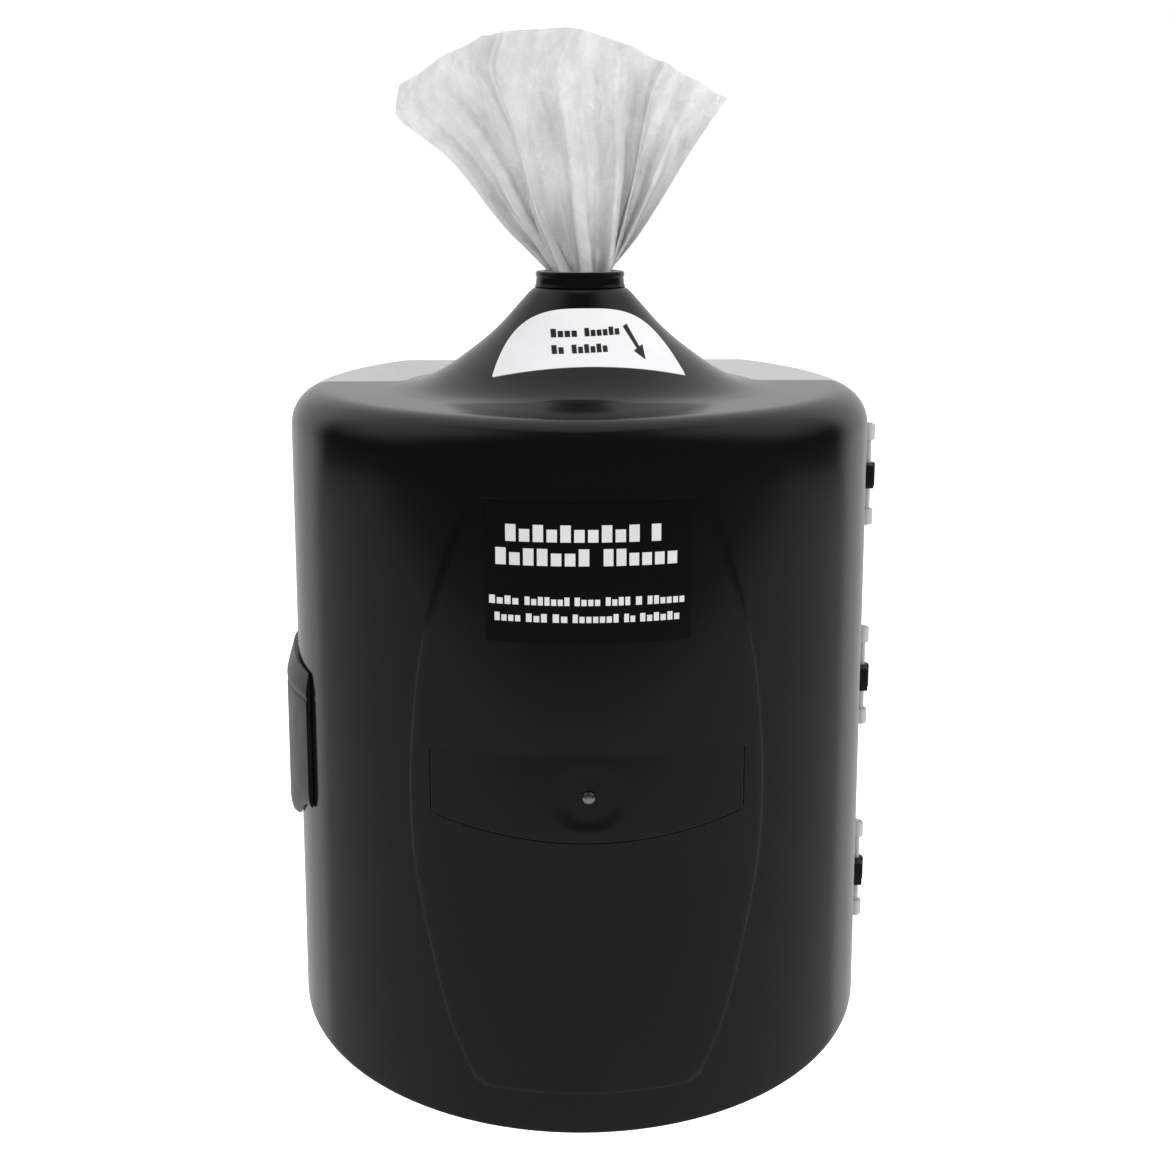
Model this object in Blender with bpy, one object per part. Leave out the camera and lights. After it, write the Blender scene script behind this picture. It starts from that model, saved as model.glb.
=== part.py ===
# Wall-hung centre-pull wipes dispenser.
#
# A grey wall housing carries a barrel-shaped black door on three vertical
# hinges.  The door's top rises into a flared nozzle that a folded wipe is
# pulled through, and a sprung pull latch sits on the door's left flank.
#
# Units are metres.  X runs to the right, +Y runs into the wall, +Z is up.
# The origin is the centre of the housing's flat back face.

import bpy
import bmesh
import math
from mathutils import Matrix, Vector

# ------------------------------------------------------------------ sizes
MM = 0.001
BODY_H = 305.0            # height of the body, floor to top plane
HALF_W = 140.0            # half the body's width at the seam
FRONT_D = 150.0           # seam plane to the front of the door
SEAM_Y = -104.0           # seam plane, measured from the wall
REAR_SEMI = 176.0         # rear semi-axis of the housing's plan
WALL_T = 3.0              # moulded wall thickness
SHOULDER_R = 17.0         # radius of the rounded top edge
SEAM_GAP = 0.15           # half the gap at the seam
Z_BASE = -BODY_H / 2.0    # body floor in the part frame

NOZZLE_Y = SEAM_Y - 12.0  # nozzle axis
FLARE_R = 86.0            # flange radius of the cone
NOTCH_R = 86.7            # clearance notch in the housing's top
NOZZLE_SEG = 64

HINGE_X = 144.4           # hinge line
HINGE_Y = SEAM_Y
HINGE_LEN = 51.0
HINGE_Z = (48.5, 153.0, 257.5)     # centre heights above the floor
KNUCKLE_R = 3.9
LUG_R = 3.4
PIN_R = 1.8
BORE_R = 2.05

LATCH_PHI = 64.0          # front edge of the latch pad on the door's ellipse
LATCH_TOP = 177.0
LATCH_BOT_REAR = 90.0
LATCH_BOT_FRONT = 112.0
LATCH_DEPTH = 6.0         # pivot pin behind the door's outer surface
LATCH_MID = 136.0

ROLL_R = 105.0
ROLL_H = 203.0
ROLL_CORE_R = 20.0
ROLL_Z = 8.0

LABEL_HALF_W = 41.3
LABEL_Z = (216.0, 273.4)

FAN_TOP = 489.0           # highest point of the pulled-out wipe


def up(h):
    """Height above the body's floor, in millimetres, as a frame z in metres."""
    return (h + Z_BASE) * MM


# --------------------------------------------------------------- clean up
for old in list(bpy.data.objects):
    bpy.data.objects.remove(old, do_unlink=True)
for old in list(bpy.data.meshes):
    bpy.data.meshes.remove(old)
for old in list(bpy.data.materials):
    bpy.data.materials.remove(old)

SCENE = bpy.context.scene.collection


# -------------------------------------------------------------- materials
def material(name, colour, rough, metal=0.0):
    mat = bpy.data.materials.new(name)
    mat.use_nodes = True
    bsdf = mat.node_tree.nodes["Principled BSDF"]
    bsdf.inputs["Base Color"].default_value = (*colour, 1.0)
    bsdf.inputs["Roughness"].default_value = rough
    bsdf.inputs["Metallic"].default_value = metal
    mat.diffuse_color = (*colour, 1.0)
    return mat


BLACK = ((0.012, 0.012, 0.013), 0.16)
GREY = ((0.50, 0.50, 0.51), 0.38)
STEEL = ((0.62, 0.62, 0.63), 0.30)
WHITE = ((0.86, 0.86, 0.84), 0.85)


# ---------------------------------------------------------------- helpers
def empty(name, loc_mm, parent=None):
    e = bpy.data.objects.new(name, None)
    e.empty_display_size = 0.02
    SCENE.objects.link(e)
    e.location = Vector(loc_mm) * MM
    if parent is not None:
        e.parent = parent
        e.location = Vector(loc_mm) * MM - world_of(parent)
    e["at"] = [c * MM for c in loc_mm]
    return e


def world_of(e):
    return Vector(e["at"])


def finish(ob, mat, parent, angle=32.0):
    """Give the object its material and hang it on its pivot."""
    base = world_of(parent)
    ob.data.transform(Matrix.Translation(-base))
    ob.parent = parent
    ob.location = (0.0, 0.0, 0.0)
    colour, rough = mat[0], mat[1]
    metal = mat[2] if len(mat) > 2 else 0.0
    ob.data.materials.clear()
    ob.data.materials.append(material(ob.name, colour, rough, metal))
    ob.data.shade_smooth()
    ob.data.set_sharp_from_angle(angle=math.radians(angle))
    return ob


def make(name, verts_mm, faces):
    """A mesh object from points given as (x, y, height) in millimetres."""
    me = bpy.data.meshes.new(name)
    me.from_pydata([(x * MM, y * MM, up(h)) for x, y, h in verts_mm], [], faces)
    me.validate()
    bm = bmesh.new()
    bm.from_mesh(me)
    bmesh.ops.recalc_face_normals(bm, faces=bm.faces)
    bm.to_mesh(me)
    bm.free()
    ob = bpy.data.objects.new(name, me)
    SCENE.objects.link(ob)
    return ob


def stack(name, rings, strips=False):
    """A solid from rings of equal length, capped at both ends.  With strips,
    a ring runs along one side and back along the other, and the caps join
    the two sides rung by rung."""
    n = len(rings[0])
    verts = [p for ring in rings for p in ring]
    faces = []
    for k in range(len(rings) - 1):
        a, b = k * n, (k + 1) * n
        for i in range(n):
            j = (i + 1) % n
            faces.append((a + i, a + j, b + j, b + i))
    last = (len(rings) - 1) * n
    if strips:
        for i in range(n // 2 - 1):
            j = n - 1 - i
            faces.append((j, j - 1, i + 1, i))
            faces.append((last + i, last + i + 1, last + j - 1, last + j))
    else:
        faces.append(tuple(range(n - 1, -1, -1)))
        faces.append(tuple(range(last, last + n)))
    return make(name, verts, faces)


def turned(name, profile, cx, cy, seg=48, phase=0.0):
    """Turn a closed (radius, height) profile about a vertical axis.

    A profile that touches the axis starts and ends at radius 0; any other
    profile is a closed loop and gives a ring."""
    closed = profile[0][0] > 1e-9
    verts, faces = [], []
    rows = []
    for r, h in profile:
        if r < 1e-9:
            rows.append([len(verts)])
            verts.append((cx, cy, h))
        else:
            row = []
            for s in range(seg):
                a = 2 * math.pi * (s + phase) / seg
                row.append(len(verts))
                verts.append((cx + r * math.cos(a), cy + r * math.sin(a), h))
            rows.append(row)
    pairs = list(zip(rows, rows[1:]))
    if closed:
        pairs.append((rows[-1], rows[0]))
    for a, b in pairs:
        for s in range(seg):
            t = (s + 1) % seg
            if len(a) == 1 and len(b) == 1:
                continue
            if len(a) == 1:
                faces.append((a[0], b[t], b[s]))
            elif len(b) == 1:
                faces.append((a[s], a[t], b[0]))
            else:
                faces.append((a[s], a[t], b[t], b[s]))
    return make(name, verts, faces)


def rod(name, r, h0, h1, cx, cy, seg=24):
    return turned(name, [(0, h0), (r, h0), (r, h1), (0, h1)], cx, cy, seg)


def rod_y(name, profile, cx, ch, seg=24):
    """Turn a (radius, y) profile that touches the axis about a line along Y."""
    verts, faces, rows = [], [], []
    for r, y in profile:
        if r < 1e-9:
            rows.append([len(verts)])
            verts.append((cx, y, ch))
        else:
            row = []
            for s in range(seg):
                a = 2 * math.pi * s / seg
                row.append(len(verts))
                verts.append((cx + r * math.cos(a), y, ch + r * math.sin(a)))
            rows.append(row)
    for a, b in zip(rows, rows[1:]):
        for s in range(seg):
            t = (s + 1) % seg
            if len(a) == 1:
                faces.append((a[0], b[s], b[t]))
            elif len(b) == 1:
                faces.append((a[t], a[s], b[0]))
            else:
                faces.append((a[t], a[s], b[s], b[t]))
    return make(name, verts, faces)


def block(name, x0, x1, y0, y1, h0, h1):
    v = [(x, y, h) for h in (h0, h1) for y in (y0, y1) for x in (x0, x1)]
    f = [(0, 1, 3, 2), (4, 6, 7, 5), (0, 4, 5, 1), (1, 5, 7, 3), (3, 7, 6, 2), (2, 6, 4, 0)]
    return make(name, v, f)


def combine(ob, tools, op):
    """Boolean the tools into the object one by one and remove them."""
    for tool in tools:
        tool.hide_render = True
        tool.display_type = "WIRE"
        mod = ob.modifiers.new("cut", "BOOLEAN")
        mod.operation = op
        mod.solver = "EXACT"
        mod.object = tool
        bpy.context.view_layer.update()
        deps = bpy.context.evaluated_depsgraph_get()
        new = bpy.data.meshes.new_from_object(ob.evaluated_get(deps))
        ob.modifiers.clear()
        ob.data = new
        bpy.data.objects.remove(tool, do_unlink=True)
    bm = bmesh.new()
    bm.from_mesh(ob.data)
    bmesh.ops.remove_doubles(bm, verts=bm.verts, dist=2e-6)
    bmesh.ops.dissolve_degenerate(bm, edges=bm.edges, dist=1e-6)
    bm.to_mesh(ob.data)
    bm.free()
    return ob


# ------------------------------------------------------------ plan curves
def door_point(phi_deg, off=0.0):
    """Point on the door's plan ellipse; off is the distance outwards."""
    p = math.radians(phi_deg)
    x, y = HALF_W * math.sin(p), -FRONT_D * math.cos(p)
    nx, ny = math.sin(p) / HALF_W, -math.cos(p) / FRONT_D
    ln = math.hypot(nx, ny)
    return (x + off * nx / ln, SEAM_Y + y + off * ny / ln)


def door_normal(phi_deg):
    p = math.radians(phi_deg)
    nx, ny = math.sin(p) / HALF_W, -math.cos(p) / FRONT_D
    ln = math.hypot(nx, ny)
    return Vector((nx / ln, ny / ln, 0.0))


def phi_of_x(x):
    return math.degrees(math.asin(x / HALF_W))


def rear_x(depth, off=0.0):
    """Half width of the housing at a depth behind the seam, offset outwards."""
    if depth <= 0.0:
        return HALF_W + off
    lo, hi = 0.0, math.radians(60.0)
    for _ in range(50):
        t = 0.5 * (lo + hi)
        nx, ny = math.cos(t) / HALF_W, math.sin(t) / REAR_SEMI
        ln = math.hypot(nx, ny)
        y = REAR_SEMI * math.sin(t) + off * ny / ln
        if y < depth:
            lo = t
        else:
            hi = t
    nx, ny = math.cos(t) / HALF_W, math.sin(t) / REAR_SEMI
    return HALF_W * math.cos(t) + off * nx / math.hypot(nx, ny)


def shoulder(r, top, steps=6):
    """(height, inset) pairs down a quarter-round edge that ends on the top."""
    out = []
    for k in range(steps + 1):
        a = math.radians(90.0 * k / steps)
        out.append((top - r + r * math.sin(a), r - r * math.cos(a)))
    return out


# ------------------------------------------------------------ the housing
def housing_ring(h, inset, y_front, y_back, n=9):
    ring = []
    for k in range(n + 1):
        y = y_front + (y_back - y_front) * k / n
        ring.append((rear_x(y - SEAM_Y, -inset), y, h))
    for k in range(n, -1, -1):
        y = y_front + (y_back - y_front) * k / n
        ring.append((-rear_x(y - SEAM_Y, -inset), y, h))
    return ring


def build_housing(name):
    front = SEAM_Y + SEAM_GAP
    levels = [(0.0, 1.2), (1.2, 0.0)] + shoulder(SHOULDER_R, BODY_H)
    ob = stack(name, [housing_ring(h, e, front, 0.0) for h, e in levels])
    inner = [(WALL_T, WALL_T + 0.6), (WALL_T + 0.6, WALL_T)]
    inner += [(h, e + WALL_T) for h, e in shoulder(SHOULDER_R - WALL_T, BODY_H - WALL_T)]
    hollow = stack("hollow", [housing_ring(h, e, front - 6.0, -WALL_T) for h, e in inner])
    combine(ob, [hollow], "DIFFERENCE")
    notch = rod("notch", NOTCH_R, BODY_H - 9.0, BODY_H + 9.0, 0.0, NOZZLE_Y, NOZZLE_SEG)
    holes = [rod_y("hole", [(0, -WALL_T - 2), (2.8, -WALL_T - 2), (2.8, 2), (0, 2)], x, h)
             for x in (-70.0, 70.0) for h in (70.0, 250.0)]
    combine(ob, [notch] + holes, "DIFFERENCE")
    return ob


def tray_ring(h, inset, n_front=36, n_rear=6):
    """D-shaped outline of the tray: the door's front curve and the housing's sides."""
    ring = []
    back = -WALL_T - 0.6
    for k in range(n_front + 1):
        x, y = door_point(-90.0 + 180.0 * k / n_front, -inset)
        ring.append((x, y, h))
    for k in range(1, n_rear + 1):
        y = SEAM_Y + (back - SEAM_Y) * k / n_rear
        ring.append((rear_x(y - SEAM_Y, -inset), y, h))
    for k in range(n_rear, 0, -1):
        y = SEAM_Y + (back - SEAM_Y) * k / n_rear
        ring.append((-rear_x(y - SEAM_Y, -inset), y, h))
    return ring


# --------------------------------------------------------------- the door
CONE = [  # (radius, height above the top plane) down the nozzle's flare
    (22.3, 46.6), (24.2, 45.0), (26.4, 42.6), (31.6, 36.7), (37.3, 30.4), (43.8, 24.2),
    (51.3, 18.2), (57.0, 13.9), (63.2, 9.5), (68.6, 5.9), (73.4, 3.2), (78.4, 1.5), (84.6, 0.8),
]


def door_ring(h, inset, n=44, back=None):
    ring = []
    for k in range(n + 1):
        x, y = door_point(-90.0 + 180.0 * k / n, -inset)
        ring.append((x, y - SEAM_GAP, h))
    if back is not None:
        ring.append((HALF_W - inset, back, h))
        ring.append((-(HALF_W - inset), back, h))
    return ring


def build_door(name):
    levels = [(0.0, 1.0), (1.0, 0.0)] + shoulder(SHOULDER_R, BODY_H)
    ob = stack(name, [door_ring(h, e) for h, e in levels])
    flare = [(0.0, BODY_H - 3.4), (FLARE_R, BODY_H - 3.4), (FLARE_R, BODY_H + 0.4)]
    flare += [(r, BODY_H + z) for r, z in reversed(CONE)]
    flare += [(0.0, BODY_H + CONE[0][1])]
    cone = turned("flare", flare, 0.0, NOZZLE_Y, NOZZLE_SEG)
    combine(ob, [cone], "UNION")
    inner = [(-6.0, WALL_T), (BODY_H - SHOULDER_R, WALL_T)]
    inner += [(h, e + WALL_T) for h, e in shoulder(SHOULDER_R - WALL_T, BODY_H - WALL_T)[1:]]
    hollow = stack("hollow", [door_ring(h, e, back=SEAM_Y + 6.0) for h, e in inner])
    core = [(0.0, BODY_H - 12.0), (81.6, BODY_H - 12.0), (81.6, BODY_H - 2.6)]
    core += [(r - 2.4, BODY_H + z - 2.4) for r, z in reversed(CONE[2:-1])]
    core += [(20.0, BODY_H + 42.2), (20.0, BODY_H + 40.0 + 3.0)]
    throat_r = 19.4
    core = core[:-2] + [(throat_r, BODY_H + CONE[0][1] - 2.4 - 1.0), (throat_r, BODY_H + 60.0), (0.0, BODY_H + 60.0)]
    cone_in = turned("throat", core, 0.0, NOZZLE_Y, NOZZLE_SEG)
    combine(ob, [hollow, cone_in], "DIFFERENCE")
    return ob


# -------------------------------------------------------------- the latch
LP = Vector((-door_point(LATCH_PHI, -LATCH_DEPTH)[0], door_point(LATCH_PHI, -LATCH_DEPTH)[1], 0.0))
LN = Vector((-door_normal(LATCH_PHI).x, door_normal(LATCH_PHI).y, 0.0))   # outwards on the left flank
LT = Vector((LN.y, -LN.x, 0.0))                                          # along the flank, to the wall
if LT.y < 0:
    LT = -LT


def latch_block(name, n0, n1, t0, t1, h0, h1):
    """A block laid out from the latch pivot along its normal and tangent."""
    v = []
    for h in (h0, h1):
        for t in (t0, t1):
            for n in (n0, n1):
                p = LP + LN * n + LT * t
                v.append((p.x, p.y, h))
    f = [(0, 1, 3, 2), (4, 6, 7, 5), (0, 4, 5, 1), (1, 5, 7, 3), (3, 7, 6, 2), (2, 6, 4, 0)]
    return make(name, v, f)


def smooth(a, b, t):
    t = max(0.0, min(1.0, (t - a) / (b - a)))
    return t * t * (3 - 2 * t)


def build_latch(name):
    """Pad that wraps the door's left flank and reaches past the seam."""
    stations = [("door", LATCH_PHI + (90.0 - LATCH_PHI) * k / 8.0) for k in range(9)]
    stations += [("rear", d) for d in (3.0, 6.5, 9.0, 10.4)]
    rows_h = []
    cols = []
    for kind, v in stations:
        if kind == "door":
            phi = v
            s = (phi - LATCH_PHI) / (90.0 - LATCH_PHI)
            inn = 0.45 + 1.55 * smooth(0.72, 0.98, s)
            outer = 1.9 + 6.6 * smooth(-0.35, 1.0, s) - 0.7
            xi, yi = door_point(phi, inn)
            xo, yo = door_point(phi, outer + 0.7)
            d = None
        else:
            s = 1.0
            inn = 2.0
            xi, yi = HALF_W + inn, SEAM_Y + v
            drop = 0.0 if v < 8.0 else (1.2 if v < 10.0 else 3.0)
            xo, yo = HALF_W + 8.5 - drop, SEAM_Y + v
        cols.append((s, (xi, yi), (xo, yo)))
    shape = [(0.0, 0.35), (0.06, 0.72), (0.14, 1.0), (0.40, 1.0), (0.70, 1.0),
             (0.795, 1.0), (0.815, 0.86), (0.835, 1.0), (0.92, 0.70), (1.0, 0.30)]
    rings = []
    n_cols = len(cols)
    for v, keep in shape:
        ring_in, ring_out = [], []
        for s, pi, po in cols:
            bot = LATCH_BOT_FRONT + (LATCH_BOT_REAR - LATCH_BOT_FRONT) * smooth(0.0, 0.8, s)
            h = bot + (LATCH_TOP - bot) * v
            q = (pi[0] + (po[0] - pi[0]) * keep, pi[1] + (po[1] - pi[1]) * keep)
            ring_in.append((-pi[0], pi[1], h))
            ring_out.append((-q[0], q[1], h))
        rings.append(ring_out + list(reversed(ring_in)))
    pad = stack(name, rings, strips=True)
    # knuckle arm that passes through the window in the door
    arm = latch_block("arm", -1.0, LATCH_DEPTH + 1.3, 0.6, 6.2, LATCH_MID - 5.5, LATCH_MID + 5.5)
    hub = rod("hub", 3.1, LATCH_MID - 5.5, LATCH_MID + 5.5, LP.x, LP.y, 24)
    combine(pad, [arm, hub], "UNION")
    bore = rod("bore", 1.6, LATCH_MID - 20, LATCH_MID + 20, LP.x, LP.y, 20)
    combine(pad, [bore], "DIFFERENCE")
    return pad


def coil(name, cx, cy, r, wire, h0, h1, turns, seg=14, sides=6):
    """A closed helical wire."""
    n = int(turns * seg)
    rings = []
    for k in range(n + 1):
        a = 2 * math.pi * k / seg
        c = Vector((cx + r * math.cos(a), cy + r * math.sin(a), h0 + (h1 - h0) * k / n))
        tangent = Vector((-math.sin(a), math.cos(a), (h1 - h0) / (turns * 2 * math.pi * r))).normalized()
        radial = Vector((math.cos(a), math.sin(a), 0.0))
        side = tangent.cross(radial)
        rings.append([tuple(c + radial * wire * math.cos(b) + side * wire * math.sin(b))
                      for b in [2 * math.pi * j / sides for j in range(sides)]])
    return stack(name, rings)


# ------------------------------------------------------ skins on the door
def door_skin(name, x_of, h0, h1, n_across, n_up, lift0, lift1):
    """A thin plate that follows the door.  x_of(v) gives its half width at
    the fraction v of its height; h0 and h1 may depend on the place across."""
    rings = []
    for j in range(n_up + 1):
        v = j / n_up
        ring_f, ring_b = [], []
        for i in range(n_across + 1):
            u = -1.0 + 2.0 * i / n_across
            half = x_of(v)
            phi = phi_of_x(half * u)
            lo, hi = h0(u), h1(u)
            h = lo + (hi - lo) * v
            xf, yf = door_point(phi, lift1)
            xb, yb = door_point(phi, lift0)
            ring_f.append((xf, yf - SEAM_GAP, h))
            ring_b.append((xb, yb - SEAM_GAP, h))
        rings.append(ring_f + list(reversed(ring_b)))
    return stack(name, rings, strips=True)


def cone_radius(z):
    """Cone radius at a height above the top plane."""
    for (r0, z0), (r1, z1) in zip(CONE, CONE[1:]):
        if z1 <= z <= z0:
            return r0 + (r1 - r0) * (z0 - z) / (z0 - z1)
    return CONE[0][0]


def cone_skin(name, half_deg, turn_deg, z_end, z_lo, z_hi, n_across, n_up, lift0, lift1):
    """A sticker on the cone's front: gently curved below, arched above."""
    rings = []
    for j in range(n_up + 1):
        v = j / n_up
        ring_f, ring_b = [], []
        for i in range(n_across + 1):
            u = -1.0 + 2.0 * i / n_across
            a = math.radians(half_deg * u + turn_deg)
            low = z_lo + (z_end - z_lo) * u * u
            arch = math.sqrt(max(0.0, 1.0 - abs(u) ** 3.0))
            z = low + (1.6 + (z_hi - low - 1.6) * arch) * v
            r = cone_radius(z)
            for lift, ring in ((lift1, ring_f), (lift0, ring_b)):
                rr, zz = r + lift * 0.70, z + lift * 0.72
                ring.append((rr * math.sin(a), NOZZLE_Y - rr * math.cos(a), BODY_H + zz))
        rings.append(ring_f + list(reversed(ring_b)))
    return stack(name, rings, strips=True)


# -------------------------------------------------------------- the wipe
FAN_AXIS_X = 1.5


def fan_edges(v):
    """Left and right edges and height of the wipe at a fraction v of its length."""
    left = 12.5 + 85.5 * (0.62 * v + 0.38 * v ** 1.7)
    right = 12.5 + 62.5 * (0.62 * v + 0.38 * v ** 1.7)
    return left, right


def build_fan(name, n_across=16, n_up=12):
    z0 = BODY_H + 52.9
    rings = []
    for j in range(n_up + 1):
        v = j / n_up
        left, right = fan_edges(v)
        half_d = 9.0 - 3.5 * v
        front, back = [], []
        for i in range(n_across + 1):
            u = -1.0 + 2.0 * i / n_across
            x = FAN_AXIS_X + (u * right if u > 0 else u * left)
            rise = (FAN_TOP - z0) * v
            drop = (29.0 if u < 0 else 36.0) * abs(u) ** 1.9 * v
            w = half_d * math.sqrt(max(0.0, 1.0 - abs(u) ** 2.4)) + 0.8
            front.append((x, NOZZLE_Y - w, z0 + rise - drop))
            back.append((x, NOZZLE_Y + w, z0 + rise - drop))
        rings.append(front + list(reversed(back)))
    return stack(name, rings, strips=True)


# ------------------------------------------------------------- assembly
root = empty("housing_frame", (0.0, 0.0, 0.0))
door_axis = empty("door_axis", (HINGE_X, HINGE_Y, 0.0), root)
latch_axis = empty("latch_axis", (LP.x, LP.y, 0.0), door_axis)

# housing group
finish(build_housing("rear_housing"), GREY, root)

tray = stack("roll_tray", [tray_ring(h, e) for h, e in
                           ((3.4, 4.6), (4.0, 4.0), (6.6, 4.0), (7.4, 4.8))])
finish(tray, GREY, root)

roll = turned("wipes_roll",
              [(ROLL_CORE_R, ROLL_Z), (ROLL_R - 2, ROLL_Z), (ROLL_R, ROLL_Z + 2),
               (ROLL_R, ROLL_Z + ROLL_H - 2), (ROLL_R - 2, ROLL_Z + ROLL_H),
               (ROLL_CORE_R, ROLL_Z + ROLL_H)], 0.0, NOZZLE_Y, 56)
finish(roll, WHITE, root)

for side_x, side in ((-70.0, "left"), (70.0, "right")):
    for h, level in ((250.0, "upper"), (70.0, "lower")):
        head = -WALL_T - 0.3
        screw = rod_y("wall_screw_%s_%s" % (level, side),
                      [(0, head - 3.0), (2.2, head - 3.0), (4.2, head - 2.0), (5.0, head - 0.6),
                       (5.0, head), (2.3, head), (2.3, -0.4), (0, -0.4)], side_x, h, 20)
        finish(screw, STEEL + (1.0,), root)

for h_mid, place in zip(HINGE_Z, ("bottom", "middle", "top")):
    h0, h1 = h_mid - HINGE_LEN / 2, h_mid + HINGE_LEN / 2
    plate = block("hinge_bracket_" + place, 140.35, 141.75, SEAM_Y + 4.4, SEAM_Y + 15.0, h0, h1)
    lugs = []
    for a, b in ((h0, h0 + 8.0), (h1 - 8.0, h1)):
        lugs.append(block("lug", 140.9, 145.2, SEAM_Y + 0.8, SEAM_Y + 7.5, a, b))
        lugs.append(rod("ear", LUG_R, a, b, HINGE_X, HINGE_Y, 24))
    combine(plate, lugs, "UNION")
    bore = rod("bore", BORE_R, h0 - 5, h1 + 5, HINGE_X, HINGE_Y, 20)
    combine(plate, [bore], "DIFFERENCE")
    finish(plate, GREY, root)
    pin = turned("hinge_pin_" + place,
                 [(0, h0 - 0.5), (PIN_R - 0.4, h0 - 0.5), (PIN_R, h0), (PIN_R, h1),
                  (PIN_R - 0.4, h1 + 0.5), (0, h1 + 0.5)], HINGE_X, HINGE_Y, 20)
    finish(pin, STEEL + (1.0,), root)

strike = block("latch_strike", -141.55, -140.35, SEAM_Y + 1.5, SEAM_Y + 12.5, 104.0, 162.0)
finish(strike, STEEL + (1.0,), root)

# door group
door = build_door("door_shell")
window = latch_block("window", 0.0, LATCH_DEPTH + 4.0, -2.2, 8.8, LATCH_MID - 7.0, LATCH_MID + 7.0)
badge_hole = rod_y("badge_hole", [(0, -262.0), (2.3, -262.0), (2.3, -245.0), (0, -245.0)], 0.0, 151.0, 20)
combine(door, [window, badge_hole], "DIFFERENCE")
finish(door, BLACK, door_axis, 30.0)

for h_mid, place in zip(HINGE_Z, ("bottom", "middle", "top")):
    a, b = h_mid - 6.0, h_mid + 6.0
    leaf = rod("door_knuckle_" + place, KNUCKLE_R, a, b, HINGE_X, HINGE_Y, 28)
    web = block("web", 140.35, 146.0, SEAM_Y - 9.5, SEAM_Y - 0.6, a, b)
    combine(leaf, [web], "UNION")
    bore = rod("bore", BORE_R, a - 5, b + 5, HINGE_X, HINGE_Y, 20)
    combine(leaf, [bore], "DIFFERENCE")
    finish(leaf, BLACK, door_axis)

c = BODY_H
collar = turned("nozzle_collar",
                [(16.4, c + 38.0), (19.0, c + 38.0), (19.0, c + 46.95), (21.3, c + 46.95),
                 (21.3, c + 51.4), (20.1, c + 52.2), (20.1, c + 52.9), (20.6, c + 53.5), (20.2, c + 54.2),
                 (18.6, c + 54.3), (17.4, c + 53.4), (17.4, c + 45.6), (16.4, c + 45.0)],
                0.0, NOZZLE_Y, 48)
finish(collar, BLACK, door_axis)


def star_disc(name, r_out, r_tip, r_root, h0, h1, points=6, seg=48):
    """A flat rubber disc with a star-shaped hole."""
    outer, inner = [], []
    per = seg // points
    for s in range(seg):
        a = 2 * math.pi * s / seg
        k = (s % per) / per
        w = abs(2 * k - 1.0)
        r = r_root + (r_tip - r_root) * w ** 2
        outer.append((r_out * math.cos(a), NOZZLE_Y + r_out * math.sin(a)))
        inner.append((r * math.cos(a), NOZZLE_Y + r * math.sin(a)))
    rings = [[(x, y, h0) for x, y in outer], [(x, y, h1) for x, y in outer],
             [(x, y, h1) for x, y in inner], [(x, y, h0) for x, y in inner]]
    verts = [p for ring in rings for p in ring]
    faces = []
    for k in range(4):
        a, b = k * seg, ((k + 1) % 4) * seg
        for i in range(seg):
            j = (i + 1) % seg
            faces.append((a + i, a + j, b + j, b + i))
    return make(name, verts, faces)


finish(star_disc("nozzle_restrictor", 16.0, 11.0, 6.4, c + 42.4, c + 44.4), ((0.03, 0.03, 0.03), 0.7), door_axis)
retainer = turned("nozzle_retainer",
                  [(12.4, c + 38.4), (16.0, c + 38.4), (16.0, c + 42.0), (12.4, c + 42.0)],
                  0.0, NOZZLE_Y, 40)
finish(retainer, BLACK, door_axis)


def badge_low(u):
    return 130.6 + 7.4 * u * u


def badge_high(u):
    return 168.5 - 3.0 * u * u


def badge_half(v):
    return 65.8 - 2.2 * max(0.0, 0.25 - v) * 4.0


badge = door_skin("badge_plate", badge_half, badge_low, badge_high, 28, 6, 0.3, 1.7)
recess = rod_y("recess", [(0, -262.0), (14.0, -262.0), (14.0, -254.85), (0, -254.85)], 0.0, 151.0, 32)
badge_bore = rod_y("badge_bore", [(0, -262.0), (2.3, -262.0), (2.3, -250.0), (0, -250.0)], 0.0, 151.0, 20)
combine(badge, [recess, badge_bore], "DIFFERENCE")
finish(badge, BLACK, door_axis)
rivet = rod_y("badge_screw",
              [(0, -257.0), (1.6, -256.8), (2.6, -256.2), (2.9, -255.3), (2.9, -255.15), (1.9, -255.15), (1.9, -248.6), (0, -248.6)],
              0.0, 151.0, 20)
finish(rivet, STEEL + (1.0,), door_axis)

label = door_skin("front_label", lambda v: LABEL_HALF_W, lambda u: LABEL_Z[0], lambda u: LABEL_Z[1],
                  16, 1, 0.3, 0.65)
finish(label, ((0.010, 0.010, 0.011), 0.45), door_axis)

sticker = cone_skin("pull_label", 46.0, 2.5, 8.6, 13.9, 38.2, 16, 5, 0.3, 0.6)
finish(sticker, WHITE, door_axis)

strand = rod("wipe_strand", 5.0, ROLL_Z + ROLL_H + 1.5, c + 52.4, 0.0, NOZZLE_Y, 16)
finish(strand, WHITE, door_axis)
finish(build_fan("wipe_fan"), WHITE, door_axis)

latch_pin = turned("latch_pin",
                   [(0, LATCH_MID - 17.0), (1.3, LATCH_MID - 17.0), (1.3, LATCH_MID + 17.0),
                    (0, LATCH_MID + 17.0)], LP.x, LP.y, 18)
finish(latch_pin, STEEL + (1.0,), door_axis)

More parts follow.
